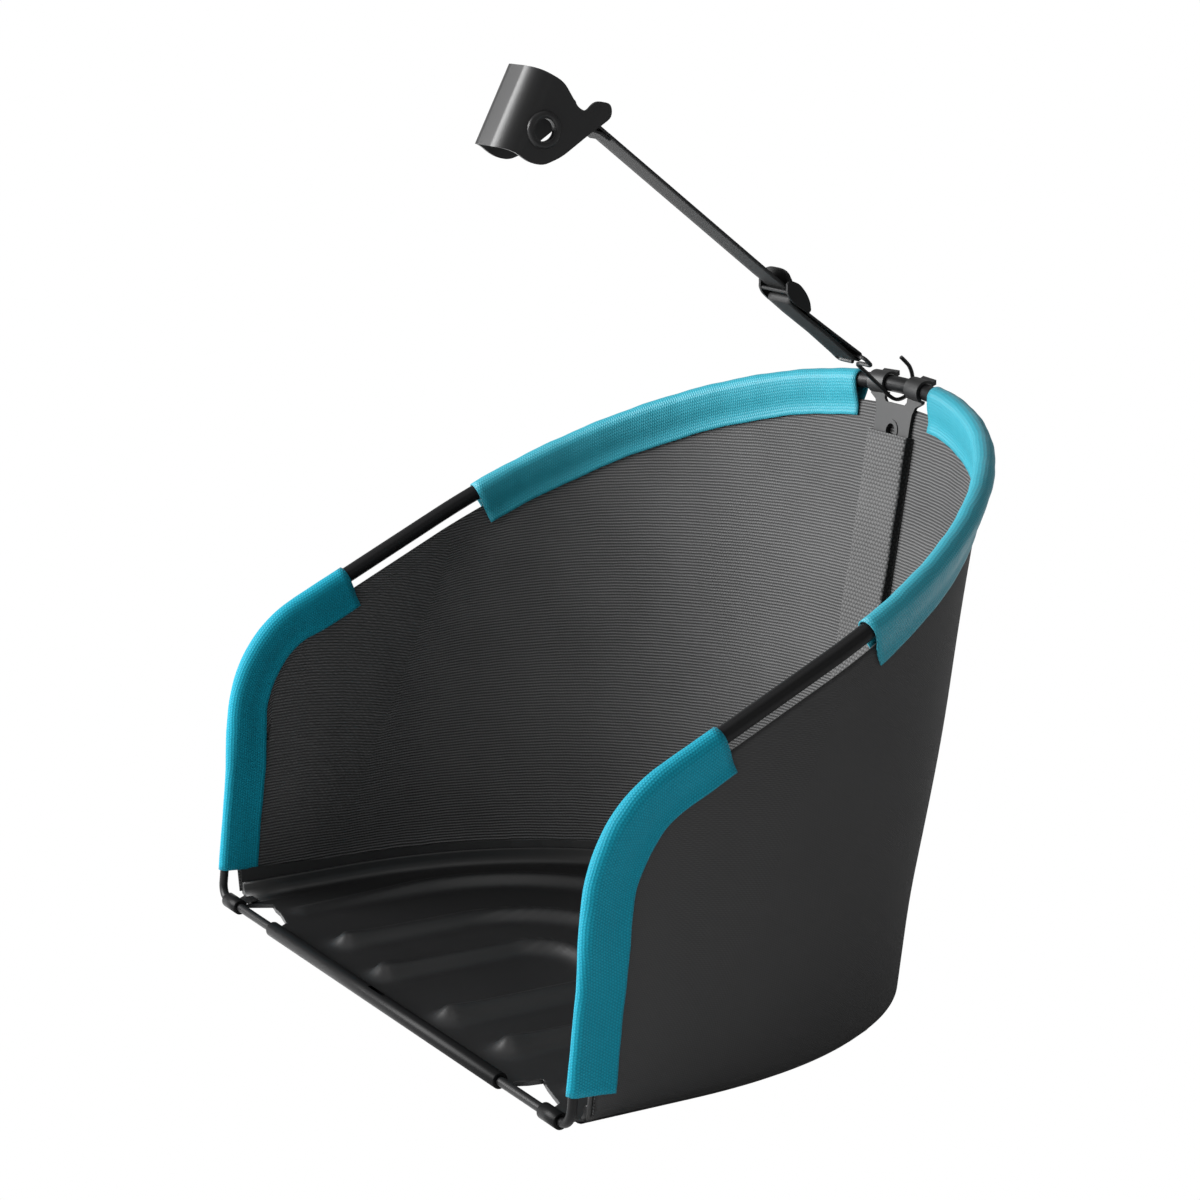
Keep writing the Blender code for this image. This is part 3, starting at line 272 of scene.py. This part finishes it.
def wall_frames(line, rim):
    """Outward and downward directions of the wall along the frame."""
    found = []
    for index, point in enumerate(line):
        ahead = line[min(index + 1, len(line) - 1)] - line[max(index - 1, 0)]
        if index == len(line) - 1:
            ahead = Vector((-1.0, 0.0, 0.0))
        ahead.normalize()
        down = rim[index] - point
        down = down - ahead * down.dot(ahead)
        if abs(point.x) > HALF_SPAN - 1e-7:
            upright = point.z < ROD_Z + UPRIGHT_HIGH
            down = Vector((0.0, 1.0, -math.tan(LEAN))) if upright else Vector((0.0, down.y, down.z))
        down.normalize()
        out_way = ahead.cross(down).normalized()
        found.append((out_way if out_way.x > 0 or out_way.y > 0.5 else -out_way, down))
    return found


STEP = 0.004
dense = stations(STEP)
line = [point for point, _ in dense]
shares = [share for _, share in dense]
shares[-1] = 2.0
rim = [outline(s, RIM_HALF - CLOTH_T / 2, RIM_BACK - CLOTH_T / 2, RIM_Z) for s in shares]
frames = wall_frames(line, rim)


def mirrored(points):
    return [*points, *(Vector((-p.x, p.y, p.z)) for p in reversed(points[:-1]))]


def surface(name, rows, across, up, materials, thickness, body="catcher"):
    """A sheet through rows of points, with a map in metres, given its thickness."""
    bm = bmesh.new()
    layer = bm.loops.layers.uv.new("cloth")
    verts = [[bm.verts.new(p) for p in row] for row in rows]
    for j in range(len(rows) - 1):
        for i in range(len(rows[0]) - 1):
            corners = ((j, i), (j, i + 1), (j + 1, i + 1), (j + 1, i))
            face = bm.faces.new([verts[a][b] for a, b in corners])
            face.smooth = True
            for loop, (a, b) in zip(face.loops, corners):
                loop[layer].uv = (across[a][b], up[a][b])
    data = bpy.data.meshes.new(name)
    bm.to_mesh(data)
    bm.free()
    made = bpy.data.objects.new(name, data)
    bpy.context.scene.collection.objects.link(made)
    for one in materials:
        data.materials.append(one)
    solid = made.modifiers.new("thickness", "SOLIDIFY")
    solid.thickness = thickness
    solid.offset = 0.0
    solid.use_even_offset = False
    solid.material_offset = len(materials) - 1
    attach(made, body)
    return made


def lengths(rows):
    """How far each point lies along its row, in metres."""
    found = []
    for row in rows:
        run_length, one = 0.0, [0.0]
        for a, b in zip(row, row[1:]):
            run_length += (b - a).length
            one.append(run_length)
        found.append(one)
    return found


def turned(table):
    return [list(row) for row in zip(*table)]


def eased(value, low, high):
    """0 below low, 1 above high, and smooth between."""
    part = min(max((value - low) / (high - low), 0.0), 1.0)
    return part * part * (3 - 2 * part)


# Wall of the catcher: one panel, ribbed inside, plain outside
first = next(i for i, share in enumerate(shares) if share > 0) - 1
bottom = [outline(s, BOTTOM_HALF - CLOTH_T / 2, BOTTOM_BACK - CLOTH_T / 2, BOTTOM_Z) for s in shares]
top = [point + down * (CLOTH_TO_TUBE + CLOTH_SAG * max(share - 1.0, 0.0))
       for point, share, (_, down) in zip(line, shares, frames)]
hem = [point + down * (SLEEVE_DROP + 0.002) for point, (_, down) in zip(line, frames)]
hem[first] = rim[first].lerp(top[first], 0.8)
half_rows = [bottom[first:]]
for lower_edge, upper_edge, count in ((bottom, rim, 3), (rim, hem, 30), (hem, top, 4)):
    half_rows += [[low.lerp(high, part) for low, high in zip(lower_edge[first:], upper_edge[first:])]
                  for part in spaced(0, 1, count)[1:]]
wall_rows = [mirrored(row) for row in half_rows]


def wall_settled(point, share):
    """The cloth's own shape: fuller half-way up the back, drawn in near the tray, held still by the pocket sewn
    to it, and its front ends cut a little off."""
    height = point.z - ROD_Z
    round_back = eased(share, 1.0, 1.5)
    fuller = 0.0016 * math.exp(-((height - 0.155) / 0.055) ** 2)
    fuller -= 0.0011 * math.exp(-((height - 0.055) / 0.035) ** 2)
    fuller *= eased(abs(point.x), 0.025, 0.060)
    away = Vector((point.x * 0.8, point.y - ROD_Y - 0.10, 0.0)).normalized()
    point = point + away * fuller * round_back
    if share < 0.02 and height < 0.05:
        point.y += (0.0030 if point.x > 0 else -0.0012) * (1 - eased(height, 0.018, 0.045))
    return point


wall_shares = [*shares[first:], *reversed(shares[first:-1])]
wall_rows = [[wall_settled(p, s) for p, s in zip(row, wall_shares)] for row in wall_rows]
base_along = lengths([wall_rows[3]])[0]
wall_up = turned(lengths(turned(wall_rows)))
wall_along = [base_along] * len(wall_rows)
wall = surface("wall", wall_rows, wall_along, wall_up, [wall_outside, wall_inside], CLOTH_T)
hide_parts("fabric_body")


def sleeve_section(radius, drop):
    """Half section of a folded sleeve, outward and down from the frame's centre line, top to hem."""
    reach = radius + 0.0002 + SLEEVE_T / 2
    flat = CLOTH_T / 2 + 0.0005 + SLEEVE_T / 2
    half = [(reach * math.sin(a), -reach * math.cos(a)) for a in spaced(0.0, math.radians(102), 12)]
    leave, land = half[-1], (flat, drop - 0.0045)
    slope = math.tan(math.radians(12))
    for t in spaced(0.0, 1.0, 8)[1:]:
        long = land[1] - leave[1]
        straight = leave[0] - slope * long * t
        settled = leave[0] + (land[0] - leave[0]) * (3 * t * t - 2 * t * t * t)
        half.append((straight * (1 - t) ** 2 + settled * (1 - (1 - t) ** 2), leave[1] + long * t))
    half += [(flat, d) for d in spaced(land[1], drop, 3)[1:]]
    return half


def sleeve(name, start, end, sign, front):
    """Cloth folded over the frame and sewn to both faces of the wall."""
    rows = []
    centre = [line[index] for index in range(start, end + 1)]
    along = lengths([centre])[0]
    for index in range(start, end + 1):
        point, (out_way, down) = line[index], frames[index]
        height = point.z - ROD_Z
        radius = WIRE_R + 0.0016 * eased(height, 0.070, 0.108) + 0.0009 * eased(height, 0.125, 0.165)
        outer_drop = inner_drop = SLEEVE_DROP
        if front:
            outer_drop += 0.0025 * (1 - eased(height, 0.15, 0.19))
            inner_drop -= 0.0020 * eased(height, 0.08, 0.13) * (1 - eased(height, 0.17, 0.19))
        s = along[index - start]
        rumple = 0.00010 * math.sin(s * 170 + sign) + 0.00006 * math.sin(s * 391 + 2 * sign)
        rumple *= 0.5 if front else 1.5
        wander = 0.00025 * math.sin(s * 95 + 1.3 * sign) + 0.0001 * math.sin(s * 260)
        outer = sleeve_section(radius + rumple, outer_drop + wander)
        inner = sleeve_section(radius + rumple, inner_drop - wander)
        section = [(-o, d) for o, d in reversed(inner[1:])] + outer
        row = [point + out_way * o + down * d for o, d in section]
        rows.append([Vector((-p.x, p.y, p.z)) for p in row] if sign < 0 else row)
    across = lengths(rows)
    # The rear sleeves take the lighter copy of the cloth: painted light
    cloth = teal if front else teal_lit_copy
    made = surface(name, rows, [[a] * len(rows[0]) for a in along], across, [cloth], SLEEVE_T)
    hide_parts(name.replace("_cloth", ""))


def nearest(test):
    return min(range(len(line)), key=test)


front_end = nearest(lambda i: abs(line[i].y - ROD_Y - SLEEVE_FRONT_END) + (shares[i] > 1))
rear_start = nearest(lambda i: abs(line[i].y - ROD_Y - loop_y - REAR_SLEEVE_AHEAD) + (shares[i] < 1))
rear_end = nearest(lambda i: abs(line[i].x - REAR_SLEEVE_END_X) + (shares[i] < 1))
for sign, hand in ((1, "right"), (-1, "left")):
    sleeve(f"front_sleeve_{hand}_cloth", 0, front_end, sign, True)
    sleeve(f"rear_sleeve_{hand}_cloth", rear_start, rear_end, sign, False)


def swept(name, path, radii, finish, node, sides=28):
    """A smooth round bar along a path, standing for a node of the part."""
    bm = bmesh.new()
    rings = []
    normal = Vector((0.0, 1.0, 0.0))
    for index, point in enumerate(path):
        ahead = (path[min(index + 1, len(path) - 1)] - path[max(index - 1, 0)]).normalized()
        normal = (normal - ahead * normal.dot(ahead)).normalized()
        other = ahead.cross(normal)
        rings.append([bm.verts.new(point + (normal * math.cos(a) + other * math.sin(a)) * radii[index])
                      for a in (2 * math.pi * k / sides for k in range(sides))])
    for one, two in zip(rings, rings[1:]):
        for k in range(sides):
            bm.faces.new((one[k], one[(k + 1) % sides], two[(k + 1) % sides], two[k])).smooth = True
    for ring in (rings[0], rings[-1]):
        bm.faces.new(ring)
    bmesh.ops.recalc_face_normals(bm, faces=bm.faces)
    return finished(name, bm, finish, node)


def finished(name, bm, finish, node, body="catcher"):
    """Makes the piece, with its material and body, and hides the node that it stands for."""
    data = bpy.data.meshes.new(name)
    bm.to_mesh(data)
    bm.free()
    data.materials.append(finish)
    made = bpy.data.objects.new(name, data)
    bpy.context.scene.collection.objects.link(made)
    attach(made, body)
    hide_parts(node)
    return made


def both_ways(half):
    """A half path from the middle or the end, and its mirror image."""
    return [Vector((-p.x, p.y, p.z)) for p in reversed(half)] + half


# Frame wire and tube, rounder than in the part
wire_top = tube_start + WIRE_IN_TUBE * math.cos(LEAN)
corner = [(HALF_SPAN - WIRE_BEND + WIRE_BEND * math.sin(a), WIRE_BEND - WIRE_BEND * math.cos(a))
          for a in spaced(0.0, math.pi / 2, 12)]
half_wire = [Vector((x, ROD_Y + z * math.tan(LEAN), ROD_Z + z)) for x, z in corner]
half_wire += [side(z * math.tan(LEAN), z) for z in (wire_top * 0.5, wire_top)]
wire_path = both_ways(half_wire)
swept("front_wire", wire_path, [WIRE_R] * len(wire_path), paint, "lower_wire")
neck_end = next(i for i, p in enumerate(line) if p.z - ROD_Z > tube_start + NECK_LENGTH)
half_tube = [side(z * math.tan(LEAN), z) for z in (tube_start, tube_start + NECK_LENGTH * 0.4)]
half_tube += line[neck_end:]
half_radii = [TUBE_NECK_R + (TUBE_R - TUBE_NECK_R) * eased(p.z - ROD_Z, 0.125, 0.165) for p in half_tube]
swept("top_tube", mirrored(half_tube), half_radii + half_radii[-2::-1], paint, "upper_tube")


def ring_round(bm, centre, way, profile, steps=48):
    """A raised ring turned about a centre: radius and height pairs along its section."""
    rings = [[bm.verts.new(centre + Vector((way * rise, radius * math.sin(a), radius * math.cos(a))))
              for a in (2 * math.pi * k / steps for k in range(steps))] for radius, rise in profile]
    for one, two in zip(rings, rings[1:]):
        for k in range(steps):
            corners = (one[k], one[(k + 1) % steps], two[(k + 1) % steps], two[k])
            bm.faces.new(corners if way < 0 else corners[::-1]).smooth = True


def skinned(node, finish, width, body="catcher", angle=32.0):
    """A copy of a node with small rounded edges, which catch the light, and rings round the clip's hole."""
    bm = bmesh.new()
    bm.from_mesh(nodes[node].data)
    bm.transform(nodes[node].matrix_world)
    bmesh.ops.remove_doubles(bm, verts=bm.verts, dist=1e-6)
    bmesh.ops.dissolve_limit(bm, angle_limit=math.radians(1.0), verts=bm.verts, edges=bm.edges)
    for face in bm.faces:
        face.smooth = True
    if node == "mower_clip":
        for way in (-1, 1):
            ring_round(bm, Vector((way * CLIP_HALF, CLIP_AT[0], CLIP_AT[1])), way, CLIP_RING)
    made = finished(node + "_skin", bm, finish, node, body)
    bevel = made.modifiers.new("edges", "BEVEL")
    bevel.width = width
    bevel.segments = 2
    bevel.limit_method = "ANGLE"
    bevel.angle_limit = math.radians(angle)
    even = made.modifiers.new("flat faces", "WEIGHTED_NORMAL")
    even.keep_sharp, even.weight = True, 100


skinned("mower_clip", clip_skin, 0.00045, "clip", 40.0)
skinned("strap_slider", slider_skin, 0.00035, "strap")
skinned("rear_strut", strut_skin, 0.0003)

# Tray: ribbed floor, low wall with a small bead, and the roll and short sleeves on the wire
def flared(share, inset, z):
    """The wall's outer face near the tray, moved in, at a height."""
    part = min((z - BOTTOM_Z) / (RIM_Z - BOTTOM_Z), 1.0)
    half = BOTTOM_HALF + (RIM_HALF - BOTTOM_HALF) * part
    rear = BOTTOM_BACK + (RIM_BACK - BOTTOM_BACK) * part
    return outline(share, half - inset, rear - inset, z)


def rib_path(half, rear, start):
    path = [(half, y) for y in spaced(start, RIB_STRAIGHT, 40)]
    for angle in spaced(0.0, math.pi / 2, 60)[1:]:
        path.append((half * abs(math.cos(angle)) ** (2 / TRAY_POWER),
                     RIB_STRAIGHT + (rear - RIB_STRAIGHT) * math.sin(angle) ** (2 / TRAY_POWER)))
    return np.array(path + [(-x, y) for x, y in path[-2::-1]])


def rib_height(points):
    """Height of the ribs over the floor at points, counted from the cross wire."""
    found = np.zeros(len(points))
    for number, (half, rear, start) in enumerate(RIBS):
        path = rib_path(half, rear, start + 0.0075)
        a, b = path[:-1], path[1:]
        best = np.full(len(points), 9.0)
        for one, two in zip(a, b):
            step = two - one
            t = np.clip(((points - one) @ step) / max(step @ step, 1e-12), 0, 1)
            best = np.minimum(best, np.hypot(*(points - one - t[:, None] * step).T))
        ridge = RIB_HEIGHT * np.exp(-(best / RIB_WIDTH) ** 2)
        if number == 0:
            ridge *= 0.35 + 0.65 * np.clip((points[:, 1] - 0.02) / 0.09, 0, 1)
        else:
            for hand in (-1, 1):
                to_nose = np.hypot(points[:, 0] - hand * half + 0.001, (points[:, 1] - start - 0.0085) * 0.8)
                ridge = ridge + 0.0017 * np.exp(-(to_nose / 0.0078) ** 1.4)
        found = np.maximum(found, ridge)
    return found


TRAY_INSET = TRAY_WALL_IN + 0.0120
turns = spaced(0.0, math.pi / 2, 60)
tray_shares = [0.0, 0.5] + [1 + a / (math.pi / 2) for a in turns]
low_z = FLOOR_T
bm = bmesh.new()
half_columns = [flared(1 + a / (math.pi / 2), TRAY_INSET, low_z) for a in turns]
columns = mirrored(half_columns)
front_y = ROD_Y + 0.0030
COUNT = 150
places = [[(c.x, front_y + (c.y - front_y) * t) for t in spaced(0.0, 1.0, COUNT)] for c in columns]
flat_points = np.array([(x, y - ROD_Y) for row in places for x, y in row])
heights = rib_height(flat_points).reshape(len(places), COUNT + 1)
verts = [[bm.verts.new((x, y, low_z + h)) for (x, y), h in zip(row, high)]
         for row, high in zip(places, heights)]
for i in range(len(verts) - 1):
    for j in range(COUNT):
        bm.faces.new((verts[i][j], verts[i][j + 1], verts[i + 1][j + 1], verts[i + 1][j])).smooth = True
floor_mesh = bpy.data.meshes.new("floor_sheet")
bmesh.ops.recalc_face_normals(bm, faces=bm.faces)
if sum(face.normal.z for face in bm.faces) < 0:
    bmesh.ops.reverse_faces(bm, faces=bm.faces)
bm.to_mesh(floor_mesh)
bm.free()
floor_sheet = bpy.data.objects.new("floor_sheet", floor_mesh)
bpy.context.scene.collection.objects.link(floor_sheet)
shell = floor_sheet.modifiers.new("thickness", "SOLIDIFY")
shell.thickness, shell.offset = FLOOR_T, -1.0
cutters = []
for shape, hand in ((LEFT_CUT, -1), (RIGHT_CUT, 1)):
    bm = bmesh.new()
    rings = [[bm.verts.new((hand * (ROLL_HALF + x), ROD_Y + y, z)) for x, y in shape] for z in (-0.01, 0.02)]
    for k in range(len(shape)):
        after = (k + 1) % len(shape)
        bm.faces.new((rings[0][k], rings[0][after], rings[1][after], rings[1][k]))
    for ring in rings:
        bm.faces.new(ring)
    bmesh.ops.recalc_face_normals(bm, faces=bm.faces)
    data = bpy.data.meshes.new("cut")
    bm.to_mesh(data)
    bm.free()
    cutters.append(bpy.data.objects.new("cut", data))
    bpy.context.scene.collection.objects.link(cutters[-1])
    cut = floor_sheet.modifiers.new("cut", "BOOLEAN")
    cut.operation, cut.solver, cut.object = "DIFFERENCE", "EXACT", cutters[-1]
bpy.context.view_layer.update()
floor_done = bpy.data.meshes.new_from_object(floor_sheet.evaluated_get(bpy.context.evaluated_depsgraph_get()))
for made in (floor_sheet, *cutters):
    bpy.data.objects.remove(made, do_unlink=True)

bm = bmesh.new()
bm.from_mesh(floor_done)
bead = ((TRAY_INSET, 0.0), (0.0075, 0.0), (0.0040, 0.0008), (0.0012, 0.0025), (0.0, 0.0050),
        (0.0, WALL_TOP - 0.0008), (-0.0002, WALL_TOP + 0.0002), (0.0003, WALL_TOP + 0.0009),
        (0.0012, WALL_TOP + 0.0011),
        (0.0021, WALL_TOP + 0.0007), (0.0024, WALL_TOP - 0.0003), (0.0026, 0.0085), (0.0034, 0.0060),
        (0.0052, 0.0040), (0.0075, 0.0029), (0.0100, low_z + 0.0001), (TRAY_INSET - TRAY_WALL_IN, low_z))
rows = []
for inset, z in bead:
    way = inset if inset == TRAY_INSET else inset + TRAY_WALL_IN
    rows.append([bm.verts.new(p) for p in mirrored([flared(s, way, z) for s in tray_shares])])
for one, two in zip(rows, rows[1:]):
    for k in range(len(one) - 1):
        bm.faces.new((one[k], one[k + 1], two[k + 1], two[k])).smooth = True
for column in (0, -1):
    bm.faces.new([row[column] for row in rows])
for low_x, high_x, outer_r in ((-ROLL_HALF, ROLL_HALF, ROLL_R), (CORNER_SLEEVE[0], CORNER_SLEEVE[1], ROLL_R),
                               (-CORNER_SLEEVE[1], -CORNER_SLEEVE[0], ROLL_R)):
    inner_r, soft, around = WIRE_R + 0.0003, 0.0005, 32
    steps_x = [(low_x, inner_r), (low_x, outer_r - soft), (low_x + soft, outer_r)]
    if low_x == -ROLL_HALF:
        steps_x += [(-0.0125, outer_r), (0.0060, outer_r)]
    steps_x += [(high_x - soft, outer_r), (high_x, outer_r - soft), (high_x, inner_r), (low_x, inner_r)]
    rings = [[bm.verts.new((x, ROD_Y + r * math.sin(a), ROD_Z + r * math.cos(a)))
              for a in (2 * math.pi * k / around for k in range(around))] for x, r in steps_x]
    for number, (one, two) in enumerate(zip(rings, rings[1:])):
        for k in range(around):
            if low_x == -ROLL_HALF and number == 3 and k in (around - 1, 0, 1):
                continue
            face = bm.faces.new((one[k], one[(k + 1) % around], two[(k + 1) % around], two[k]))
            face.smooth = abs(steps_x[number][1] - steps_x[number + 1][1]) < 1e-6 or abs(
                steps_x[number][0] - steps_x[number + 1][0]) > 1e-6
            face.material_index = 1
for hand in (-1, 1):
    outer_x, inner_x = hand * flared(0.0, TRAY_WALL_IN, 0.0).x, hand * 0.203
    far = ROD_Y + WALL_FRONT + 0.004
    corners = [(inner_x, ROD_Y + 0.001), (hand * 0.2065, ROD_Y + 0.001), (outer_x, far - 0.003),
               (outer_x, far), (inner_x, far)]
    lower = [bm.verts.new((x, y, 0.0022 + 0.09 * (y - ROD_Y))) for x, y in corners]
    upper = [bm.verts.new((x, y, 0.0046)) for x, y in corners]
    bm.faces.new(lower)
    bm.faces.new(upper)
    for k in range(len(corners)):
        after = (k + 1) % len(corners)
        bm.faces.new((lower[k], lower[after], upper[after], upper[k]))
bmesh.ops.recalc_face_normals(bm, faces=bm.faces)
finished("tray_moulding", bm, tray_skin, "floor_tray").data.materials.append(roll_skin)

# Pocket of webbing over the strut, sewn to the wall
HINGE = side(LOOP_BACK, LOOP_RISE, 0.0)
down_wall = (rim[-1] - line[-1]).normalized()
inward = Vector((0.0, down_wall.z, -down_wall.y))
pocket_long = (HINGE.z - STRUT_FOOT_Z) / -down_wall.z + 0.0003 + POCKET_T - POCKET_TOP
pocket_half, pocket_rise = STRUT_NECK + 0.0010 + POCKET_T / 2, STRUT_IN + STRUT_T + 0.0026
wall_side = CLOTH_T / 2 + 0.0003
section = [(pocket_half + 0.0020, wall_side + 0.0003), (pocket_half + 0.0010, wall_side + 0.0004),
           (pocket_half + 0.0002, wall_side + 0.0012), (pocket_half, pocket_rise - 0.0009),
           (pocket_half - 0.0004, pocket_rise - 0.0003), (pocket_half - 0.0012, pocket_rise)]
section += [(x, pocket_rise) for x in spaced(pocket_half - 0.0012, 0.0, 6)[1:]]
section += [(-x, rise) for x, rise in section[-2::-1]]
pocket_rows = []
for t in spaced(0.0, pocket_long, 70):
    slack = 0.00025 * math.sin(t * 140) + 0.0002 * math.sin(t * 61 + 1)
    start = HINGE + down_wall * (POCKET_TOP + t)
    pocket_rows.append([start + inward * (rise + (slack if rise > 0.003 else 0.0)) + Vector((x, 0.0, 0.0))
                        for x, rise in section])
pocket_up = [[t] * len(section) for t in spaced(0.0, pocket_long, 70)]
pocket = surface("pocket", pocket_rows, lengths(pocket_rows), pocket_up, [pocket_knit], POCKET_T)
# The three columns at each side of the pocket take the darker copy of the cloth: painted shade along its sides
pocket.data.materials.append(pocket_side_shade)
for face in pocket.data.polygons:
    column = face.index % (len(section) - 1)
    if min(column, len(section) - 2 - column) < 3:
        face.material_index = 1
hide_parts("strut_pocket")

# Strap: one webbing through the slider, round the ring's bar and the clip's pin
SLIDER_DIR = math.radians(36.3)
slider_at = Vector((HINGE.y - 0.0837, HINGE.z + 0.0672))
ring_bar = Vector((HINGE.y - 0.0408, HINGE.z + 0.0227))
pin = Vector((HINGE.y - 0.2582 + 0.0285, HINGE.z + 0.1675 + 0.0040))
STRAP_T, STRAP_W = 0.0015, 0.0230


def uv(u, v):
    """A side-view point in the slider's frame."""
    c, s = math.cos(SLIDER_DIR), math.sin(SLIDER_DIR)
    return slider_at + Vector((-c * u + s * v, s * u + c * v))


def wrap(centre, radius, start, end):
    """A part turn about a centre, in twelve steps."""
    return [centre + Vector((math.cos(a), math.sin(a))) * radius for a in spaced(start, end, 12)]


enter = uv(0.017, -0.0041)
pin_wrap = 0.0028 + STRAP_T / 2
run_way = (pin - enter).normalized()
run_way = (pin + Vector((run_way.y, -run_way.x)) * pin_wrap - enter).normalized()
above = Vector((run_way.y, -run_way.x))
turn_at = math.atan2(above.y, above.x)
up_at = math.atan2(math.cos(SLIDER_DIR), math.sin(SLIDER_DIR))
tail = pin_wrap - STRAP_T - 0.0003
route = [pin - run_way * 0.0225 + above * tail, pin - run_way * 0.0165 + above * (tail - 0.0002)]
route += wrap(pin, pin_wrap, turn_at + math.pi + 0.33, turn_at)
route += [(pin + above * pin_wrap).lerp(enter, t) for t in spaced(0.1, 0.95, 12)]
route += [enter, uv(0.008, -0.0042), uv(-0.001, -0.0040), uv(-0.007, -0.0058), uv(-0.016, -0.0088),
          uv(-0.036, -0.0086)]
route += wrap(ring_bar, 0.00155 + STRAP_T / 2, up_at, up_at - math.pi)
route += [uv(-0.036, -0.0114), uv(-0.014, -0.0112)]
route += wrap(uv(-0.0020, -0.0083), 0.0016 + STRAP_T / 2, up_at - math.pi, up_at - 2 * math.pi + 0.2)
strap_rows = [[Vector((x, p.x, p.y)) for x in spaced(-STRAP_W / 2, STRAP_W / 2, 6)] for p in route]
strap_along = lengths(turned(strap_rows))[0]
strap_across = [[x + STRAP_W / 2 for x in spaced(-STRAP_W / 2, STRAP_W / 2, 6)]] * len(route)
strap = surface("webbing", strap_rows, strap_across, [[a] * 7 for a in strap_along], [webbing],
                STRAP_T - 0.0002, body="strap")
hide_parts("hanger_strap")

# Floor, light and background
floor_data = bpy.data.meshes.new("floor")
floor_data.from_pydata([(x, y, -0.0004) for x, y in ((-6, -6), (6, -6), (6, 6), (-6, 6))], [], [(0, 1, 2, 3)])
floor = bpy.data.objects.new("floor", floor_data)
bpy.context.scene.collection.objects.link(floor)
white = Nodes("floor_white")
white.set(Base_Color=colour(0.9, 0.9, 0.9), Roughness=0.9)
light_path = white.add("LightPath")
glow = white.add("Emission", {"Color": colour(1, 1, 1), "Strength": 1.0})
blend = white.add("MixShader")
white.tree.links.new(light_path.outputs["Is Camera Ray"], blend.inputs[0])
white.tree.links.new(white.shader.outputs[0], blend.inputs[1])
white.tree.links.new(glow.outputs[0], blend.inputs[2])
white.tree.links.new(blend.outputs[0], white.tree.nodes["Material Output"].inputs[0])
floor_data.materials.append(white.material)

world = bpy.data.worlds.new("studio")
bpy.context.scene.world = world
world.use_nodes = True
sky = world.node_tree
sky.nodes.clear()
out = sky.nodes.new("ShaderNodeOutputWorld")
seen, lit = (sky.nodes.new("ShaderNodeBackground") for _ in range(2))
seen.inputs["Color"].default_value = (1, 1, 1, 1)
lit.inputs["Color"].default_value = (1, 1, 1, 1)
lit.inputs["Strength"].default_value = 0.36
path = sky.nodes.new("ShaderNodeLightPath")
pick = sky.nodes.new("ShaderNodeMixShader")
sky.links.new(path.outputs["Is Camera Ray"], pick.inputs[0])
sky.links.new(lit.outputs[0], pick.inputs[1])
sky.links.new(seen.outputs[0], pick.inputs[2])
sky.links.new(pick.outputs[0], out.inputs[0])


def lamp(name, place, target, size, power):
    data = bpy.data.lights.new(name, "AREA")
    data.shape = "RECTANGLE"
    data.size, data.size_y = size
    data.energy = power
    made = bpy.data.objects.new(name, data)
    made.location = place
    made.rotation_euler = (Vector(target) - Vector(place)).to_track_quat("-Z", "Y").to_euler()
    bpy.context.scene.collection.objects.link(made)


lamp("key", (-1.30, -1.85, 1.20), (0.0, 0.08, 0.25), (1.5, 1.5), 182)
lamp("front", (-0.10, -2.3, 1.40), (0.0, 0.0, 0.35), (0.4, 0.4), 36)
lamp("top", (0.2, 0.1, 2.2), (0.0, 0.0, 0.2), (1.5, 1.5), 6)
lamp("side", (2.2, 0.6, 1.2), (0.0, 0.1, 0.2), (1.2, 1.2), 2)

bpy.context.scene.view_settings.view_transform = "Standard"
